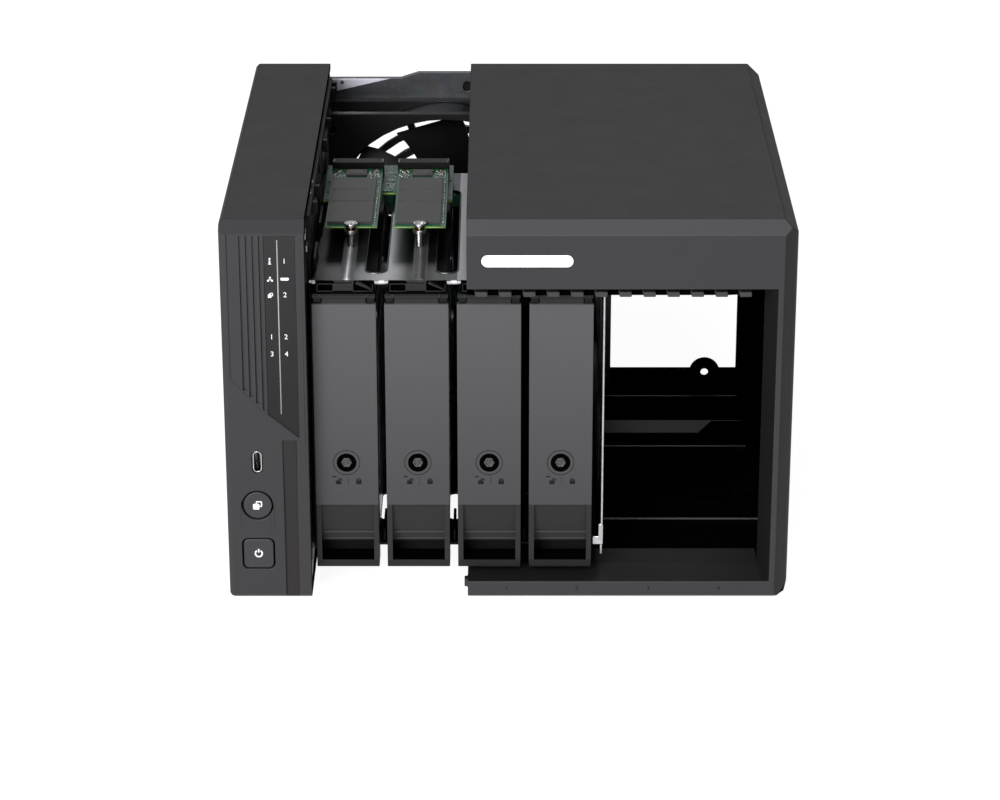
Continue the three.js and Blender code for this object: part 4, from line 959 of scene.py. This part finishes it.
def drive_cage():
    low, high = span("drive_cage")
    top, right, front = 136.5, 157.3, 15.0
    # painted shade on the drive cage sheet
    cage = refined("drive_cage", "cage_steel_painted_shade", 0.25)
    # the cage top takes the look with painted reflection and painted shade
    paint(cage, "cage_top", lambda x, y, z, n: z > top - 0.1 and n.z > 0.5 and y < 158)
    paint(cage, "bright", lambda x, y, z, n: x > 152.8 and y < 15.9 and z < 28)

    hem = Solids()
    hem.round_box("x", front - 0.5, front + 0.7, top - 1.3, top + 0.15, 0.5, low.x + 0.2, right)
    hem.round_box("z", right - 0.95, right + 0.1, front - 0.5, front + 0.5, 0.4, 27.4, top - 0.2)
    hem.piece("cage_front_hem", "bright", STEEL_SLOT)

    rims = Solids()
    rim_half, hole_half = SLOT_HALF + 0.65, SLOT_HALF - 0.05
    for x in (SLOT_X + SLOT_PITCH * i for i in range(3)):
        outer = rounded(x - rim_half, x + rim_half, 24.2, 132.9, 4.85)
        inner = rounded(x - hole_half, x + hole_half, 24.85, 132.25, 4.2)
        rims.tube("z", outer, inner, top - 0.6, top + 0.3)
    rims.piece("cage_slot_rims", "steel", STEEL_SLOT, bevel=0.25, segments=3)

    beads = Solids()
    half, height, steps = BEAD_HALF, 1.3, 20
    for x in (BEAD_X + BEAD_PITCH * i for i in range(4)):
        sections = []
        for y, scale in ((15.6, 0.9), (17.5, 1.0), (98, 1.0), (101, 0.6), (103, 0.1)):
            arc = []
            for k in range(steps + 1):
                across = 2 * k / steps - 1
                lift = (1 + math.cos(math.pi * across)) / 2
                arc.append((x + half * across, y, top + 0.02 + height * scale * lift))
            arc.append((x + half, y, top - 0.4))
            arc.append((x - half, y, top - 0.4))
            sections.append(arc)
        beads.loft(sections)
    beads.piece("cage_beads", "bead", STEEL_SLOT)

    tabs = Solids()
    for x in (36.6, 65.3, 95.1, 124.9):
        tabs.box(x - 1.2, x + 1.2, 14.2, 15.6, top - 0.5, top + 0.45)
    tabs.piece("cage_front_tabs", "white", STEEL_SLOT, bevel=0.2)


def harness():
    """Sleeved cables from the backplane sockets, each with a plug at both ends."""
    for i, x in enumerate((58.1, 91.9, 125.7)):
        cable = Solids()
        ribbed = [(3.0 + 0.25 * (k % 2), 24 + 1.5 * k) for k in range(64)]
        cable.turned("z", (x, 184), ribbed, 20)
        cable.piece(f"harness_sleeve_{i + 1}", "rubber", BLACK_SLOT)
        plugs = Solids()
        for z in (18, 119):
            plugs.box(x - 4, x + 4, 177.7, 187.6, z, z + 7)
        plugs.piece(f"harness_plugs_{i + 1}", "black", BLACK_SLOT, bevel=0.4)


def rear_details():
    """What the rear carries: nut, fan screws, contacts, lamps and tongues of the sockets."""
    rear = span("rear_panel")[1].y
    fan_low, fan_high = span("fan_frame")
    fan_x, fan_z, fan_screw = (fan_low.x + fan_high.x) / 2, (fan_low.z + fan_high.z) / 2, 52.5
    nut = Solids()
    nut.turned("y", (98.4, 158.2), ((3.2, rear - 1.5), (3.2, rear - 0.3), (1.5, rear - 0.3),
                                    (1.4, rear - 0.8), (0.2, rear - 0.85)), 24)
    nut.piece("captive_nut", "black", BLACK_SLOT)
    screws = Solids()
    for x in (fan_x - fan_screw, fan_x + fan_screw):
        for z in (fan_z - fan_screw, fan_z + fan_screw):
            screws.turned("y", (x, z), ((3.2, rear), (3.2, rear + 0.5), (2.4, rear + 1.2),
                                        (1.4, rear + 1.3), (1.1, rear + 0.5), (0.1, rear + 0.45)), 24)
    screws.piece("fan_screws", "bright", METAL_SLOT)
    contacts, lamps = Solids(), Solids()
    for i in (1, 2):
        low, high = span(f"ethernet_port_{i}")
        x = (low.x + high.x) / 2
        for k in range(8):
            across = x + (k - 3.5) * 1.02
            contacts.box(across - 0.18, across + 0.18, high.y - 9, high.y - 1.5,
                         high.z - 3.4, high.z - 3.1)
        for side in (-1, 1):
            lamps.box(x + side * 5.2 - 0.9, x + side * 5.2 + 0.9, high.y - 0.6, high.y + 0.12,
                      low.z + 0.7, low.z + 1.9)
    contacts.piece("ethernet_contacts", "gold", METAL_SLOT)
    lamps.piece("ethernet_lamps", "green_light", METAL_SLOT)
    low, high = span("usb_port_stack")
    tongues = Solids()
    for x in (low.x + 5.0, high.x - 4.2):
        tongues.box(x - 0.9, x + 0.9, high.y - 12, high.y - 1.2, low.z + 2.4, high.z - 2.4)
    tongues.piece("usb_tongues", "blue", METAL_SLOT, bevel=0.15)


def rear_parts():
    refined("rear_panel", "steel", 0.2)
    # painted reflection: a pale wedge on the rear panel's upper left
    wedge = Solids()
    wedge.prism("y", ((35.4, 161.3), (62.5, 161.3), (35.4, 154.9)), 221.9, 222.5)
    wedge.piece("rear_painted_reflection", "wedge", STEEL_SLOT, bevel=0.1)
    rivet = Solids()
    rivet.turned("y", (40.2, 159.7), ((0.9, 222), (0.9, 221.7), (0.5, 221.5)), 18)
    rivet.piece("rear_panel_rivet", "lock_core", STEEL_SLOT)
    for node, look, slot, bevel in (
            ("io_shield", "steel", STEEL_SLOT, 0.2), ("backplane_board", "circuit", BOARD_SLOT, 0.1),
            ("fan_frame", "fan", BLACK_SLOT, 0.3), ("fan_rotor", "fan", BLACK_SLOT, 0.3),
            ("ethernet_port_1", "bright", METAL_SLOT, 0.2),
            ("ethernet_port_2", "bright", METAL_SLOT, 0.2),
            ("usb_port_stack", "bright", METAL_SLOT, 0.15), ("hdmi_port", "bright", METAL_SLOT, 0.12),
            ("dc_power_jack", "black", BLACK_SLOT, 0.15)):
        refined(node, look, bevel)


drive_cage()
harness()
rear_parts()
rear_details()

# ------------------------------------------------------------------ M.2 riser and modules


def solder_part(bodies, ends, place_at, size, height):
    """A chip part lying along y: its body, and a soldered cap at each end, a hair larger.

    place_at is x, y and the board's top; size is half the width, half the body, half the length.
    """
    x, y, top = place_at
    half_wide, half_body, half_long = size
    hair = 0.02
    bodies.box(x - half_wide, x + half_wide, y - half_body, y + half_body, top, top + height)
    for a, b in ((y - half_long, y - half_body), (y + half_body, y + half_long)):
        ends.box(x - half_wide - hair, x + half_wide + hair, a, b, top, top + height + hair)


def m2_module(index, dice):
    low, high = span(f"m2_module_{index}")
    x0, x1, y0, y1, bottom = low.x, high.x, low.y, high.y, low.z
    top = bottom + 0.8
    centre = (x0 + x1) / 2
    notch = [(centre + 1.9 * math.cos(a), y0 + 1.9 * math.sin(a))
             for a in (math.pi * k / 10 for k in range(11))]
    board = Solids()
    board.prism("z", [(x0, y0), (x0, y1), (x1, y1), (x1, y0), *notch], bottom, top)
    board.piece(f"m2_board_{index}", "module", BOARD_SLOT, bevel=0.06,
                replaces=(f"m2_module_{index}",))
    edge = Solids()
    for a, b in ((x0 + 0.05, centre - 2.1), (centre + 2.1, x1 - 0.05)):
        edge.box(a, b, y0 - 0.04, y0 + 0.1, bottom + 0.15, top - 0.15)
    edge.piece(f"m2_board_edge_{index}", "laminate", BOARD_SLOT)

    flash = Solids()
    for a, b in ((58, 84.6), (85.2, 100.4), (101, 116.6)):
        flash.box(x0 + 0.8, x1 - 2.2, a, b, top, top + 1.35)
    flash.piece(f"m2_flash_{index}", "flash", BOARD_SLOT, bevel=0.12)
    dots = Solids()
    for b in (84.6, 100.4, 116.6):
        dots.disc("z", (x0 + 2.3, b - 1.5), 0.4, top + 1.3, top + 1.38, 14)
    dots.piece(f"m2_flash_dots_{index}", "dark_print", BOARD_SLOT)
    chip = Solids()
    chip.box(x0 + 6.2, x0 + 15.2, 121.5, 129.5, top, top + 1.1)
    chip.piece(f"m2_controller_{index}", "chip", BOARD_SLOT, bevel=0.12)
    lid = Solids()
    lid.box(x0 + 7.6, x0 + 13.8, 122.9, 128.1, top + 1.05, top + 1.25)
    lid.piece(f"m2_controller_lid_{index}", "flash", BOARD_SLOT, bevel=0.1)

    bodies, ends = Solids(), Solids()
    spots = [(x1 - 1.2, 60 + 3.1 * k) for k in range(18)]
    spots += [(x0 + 0.9 + dice.random() * 4.2, 118.6 + dice.random() * 11.5) for _ in range(26)]
    spots += [(x1 - 5.6 + dice.random() * 4.6, 118.6 + dice.random() * 11.5) for _ in range(26)]
    for x, y in spots:
        long, wide = dice.choice(((1.4, 0.8), (1.9, 1.1), (1.1, 0.7)))
        tall = 0.3 + dice.random() * 0.35
        solder_part(bodies, ends, (x, y, top), (wide / 2, long / 4, long / 2), tall)
    bodies.piece(f"m2_passives_{index}", "ceramic", BOARD_SLOT)
    ends.piece(f"m2_solder_{index}", "bright", BOARD_SLOT)

    fingers = Solids()
    for k in range(34):
        a = x0 + 1.6 + 0.56 * k
        if abs(a - (x0 + 16.5)) > 1.2:
            fingers.box(a, a + 0.34, 130.6, 134.9, top, top + 0.05)
    fingers.piece(f"m2_fingers_{index}", "gold", BOARD_SLOT)
    pad = Solids()
    pad.ring("z", (centre, y0), 1.95, 2.85, top, top + 0.06, 24, 0, math.pi)
    pad.piece(f"m2_screw_pad_{index}", "gold", BOARD_SLOT)


def m2_hardware(index):
    low, high = span(f"m2_connector_{index}")
    refined(f"m2_connector_{index}", "black", 0.2)
    springs = Solids()
    for k in range(36):
        a = low.x + 1.9 + 0.52 * k
        springs.box(a, a + 0.22, low.y + 0.9, low.y + 2.6, high.z - 2.6, high.z - 2.35)
    for a in (low.x + 0.15, high.x - 1.0):
        springs.box(a, a + 0.85, low.y + 1.2, high.y - 1.2, high.z - 0.1, high.z + 0.08)
    springs.piece(f"m2_connector_metal_{index}", "bright", METAL_SLOT)

    standoff = refined(f"m2_standoff_{index}", "bright", 0.15)
    s_high = span(f"m2_standoff_{index}")[1]
    paint(standoff, "brass", lambda x, y, z, n: z > s_high.z - 0.4)
    refined(f"m2_screw_{index}", "bright", 0.3, 3)


def riser(dice):
    refined("m2_riser_board", "circuit", 0.08)
    low, high = span("m2_riser_board")
    top = high.z
    edge = Solids()
    for a, b, y in ((low.x + 0.1, 62.3, low.y), (68.9, high.x - 0.1, low.y)):
        edge.box(a, b, y - 0.04, y + 0.1, low.z + 0.25, top - 0.25)
    edge.box(62.5, 68.7, low.y + 9.96, low.y + 10.1, low.z + 0.25, top - 0.25)
    edge.piece("riser_edge", "laminate", BOARD_SLOT)
    holes = Solids()
    for x, y, radius in ((65.2, 122, 0.9), (66.9, 125.5, 0.6), (64.6, 127.5, 0.6), (65.9, 117, 0.5),
                         (38.6, 112, 0.8), (38.6, 126, 0.8), (92.1, 108, 0.5), (92.1, 128, 0.7)):
        holes.disc("z", (x, y), radius, top - 0.02, top + 0.03, 20)
    holes.piece("riser_holes", "dark_print", BOARD_SLOT)
    bodies, ends = Solids(), Solids()
    for _ in range(34):
        x, y = 63.2 + dice.random() * 4.8, 113 + dice.random() * 32
        solder_part(bodies, ends, (x, y, top), (0.25, 0.3, 0.55), 0.4)
    bodies.piece("riser_passives", "ceramic", BOARD_SLOT)
    ends.piece("riser_solder", "bright", BOARD_SLOT)
    lines = Solids()
    for k in range(6):
        lines.box(63.4, 67.8, 113.6 + 5.2 * k, 113.75 + 5.2 * k, top, top + 0.03)
    lines.piece("riser_print", "white", BOARD_SLOT)


PARTS_SEED = 7
dice = random.Random(PARTS_SEED)
for index in (1, 2):
    m2_module(index, dice)
    m2_hardware(index)
riser(dice)

# ------------------------------------------------------------------ housing and feet


RIB_ROWS = (68.3, 149.9, 211.8)


def housing():
    low, high = span("housing_cover")
    right = high.x
    corner_width, edge_width = 1.7, 0.4

    def width_at(x, y, z):
        return corner_width if x > right - 6 and y < 6 and 7 < z < 160 else edge_width
    cover = refined("housing_cover", "shell", corner_width, 3, width_at)

    def inside(x, y, z, n):
        beyond_door = x < 227.2 and 7.7 < z < 138.2 and y > 19
        within_walls = x < right - 2 and 18.4 < y < 226.2 and 2.9 < z < 165
        outer_chamfer = n.x > 0.3 and abs(n.z) > 0.3
        return beyond_door or (within_walls and not outer_chamfer)

    def rail(x, y, z, n):
        return 6.4 < y < 8.6 and 133.5 < z < 139.2 or (137 < z < 138.5 and n.z < -0.5 and 0.3 < y < 19)
    # painted highlight on the front top chamfer
    paint(cover, "shell_top_edge_highlight", lambda x, y, z, n: y < 12 and z > 150 and n.y < -0.3 and n.z > 0.3)
    # painted shade on the housing's right side
    paint(cover, "shell_side_painted_shade", lambda x, y, z, n: x > right - 12 and n.x > 0.5)
    # painted shade inside the housing
    paint(cover, "shell_inside_shade", inside)
    # painted shade on the door jambs
    paint(cover, "jamb", lambda x, y, z, n: 0.3 < y < 19.2 and 7 < z < 139 and x < 227.5)
    # painted shade in the gap over the comb rail and under the lintel
    paint(cover, "shell_inside_shade", rail)
    paint(cover, "tooth", lambda x, y, z, n: 2.9 < y < 6.5 and 133.9 < z < 136.3 and x < 220)
    # painted shade on the inner lip
    paint(cover, "lip", lambda x, y, z, n: 19 < y < 37 and n.z > 0.5 and 6.1 < z < 6.3)
    # painted shade on the floor flats behind the door
    paint(cover, "rib", lambda x, y, z, n: y > 110 and n.z > 0.5 and 5.9 < z < 6.1)
    # painted highlight along the rib rows
    paint(cover, "rib_top", lambda x, y, z, n: y > 40 and n.z > 0.5 and 5.9 < z < 6.1 and any(
        abs(y - rib) < 1.2 for rib in RIB_ROWS))

    refined("front_badge", "badge", 0.15)
    numerals = Solids()
    for bay, x in zip(BAYS, (116.6, 146.3, 176.3, 205.9)):
        numerals.text(str(bay), x, 4.3, 2.8, FRONT_Y)
    numerals.piece("bay_numerals", "dark_print", SHELL_SLOT, "housing")
    for corner_name in ("left_front", "left_rear", "right_front", "right_rear"):
        refined(f"foot_{corner_name}", "rubber", 0.4, 3)


housing()
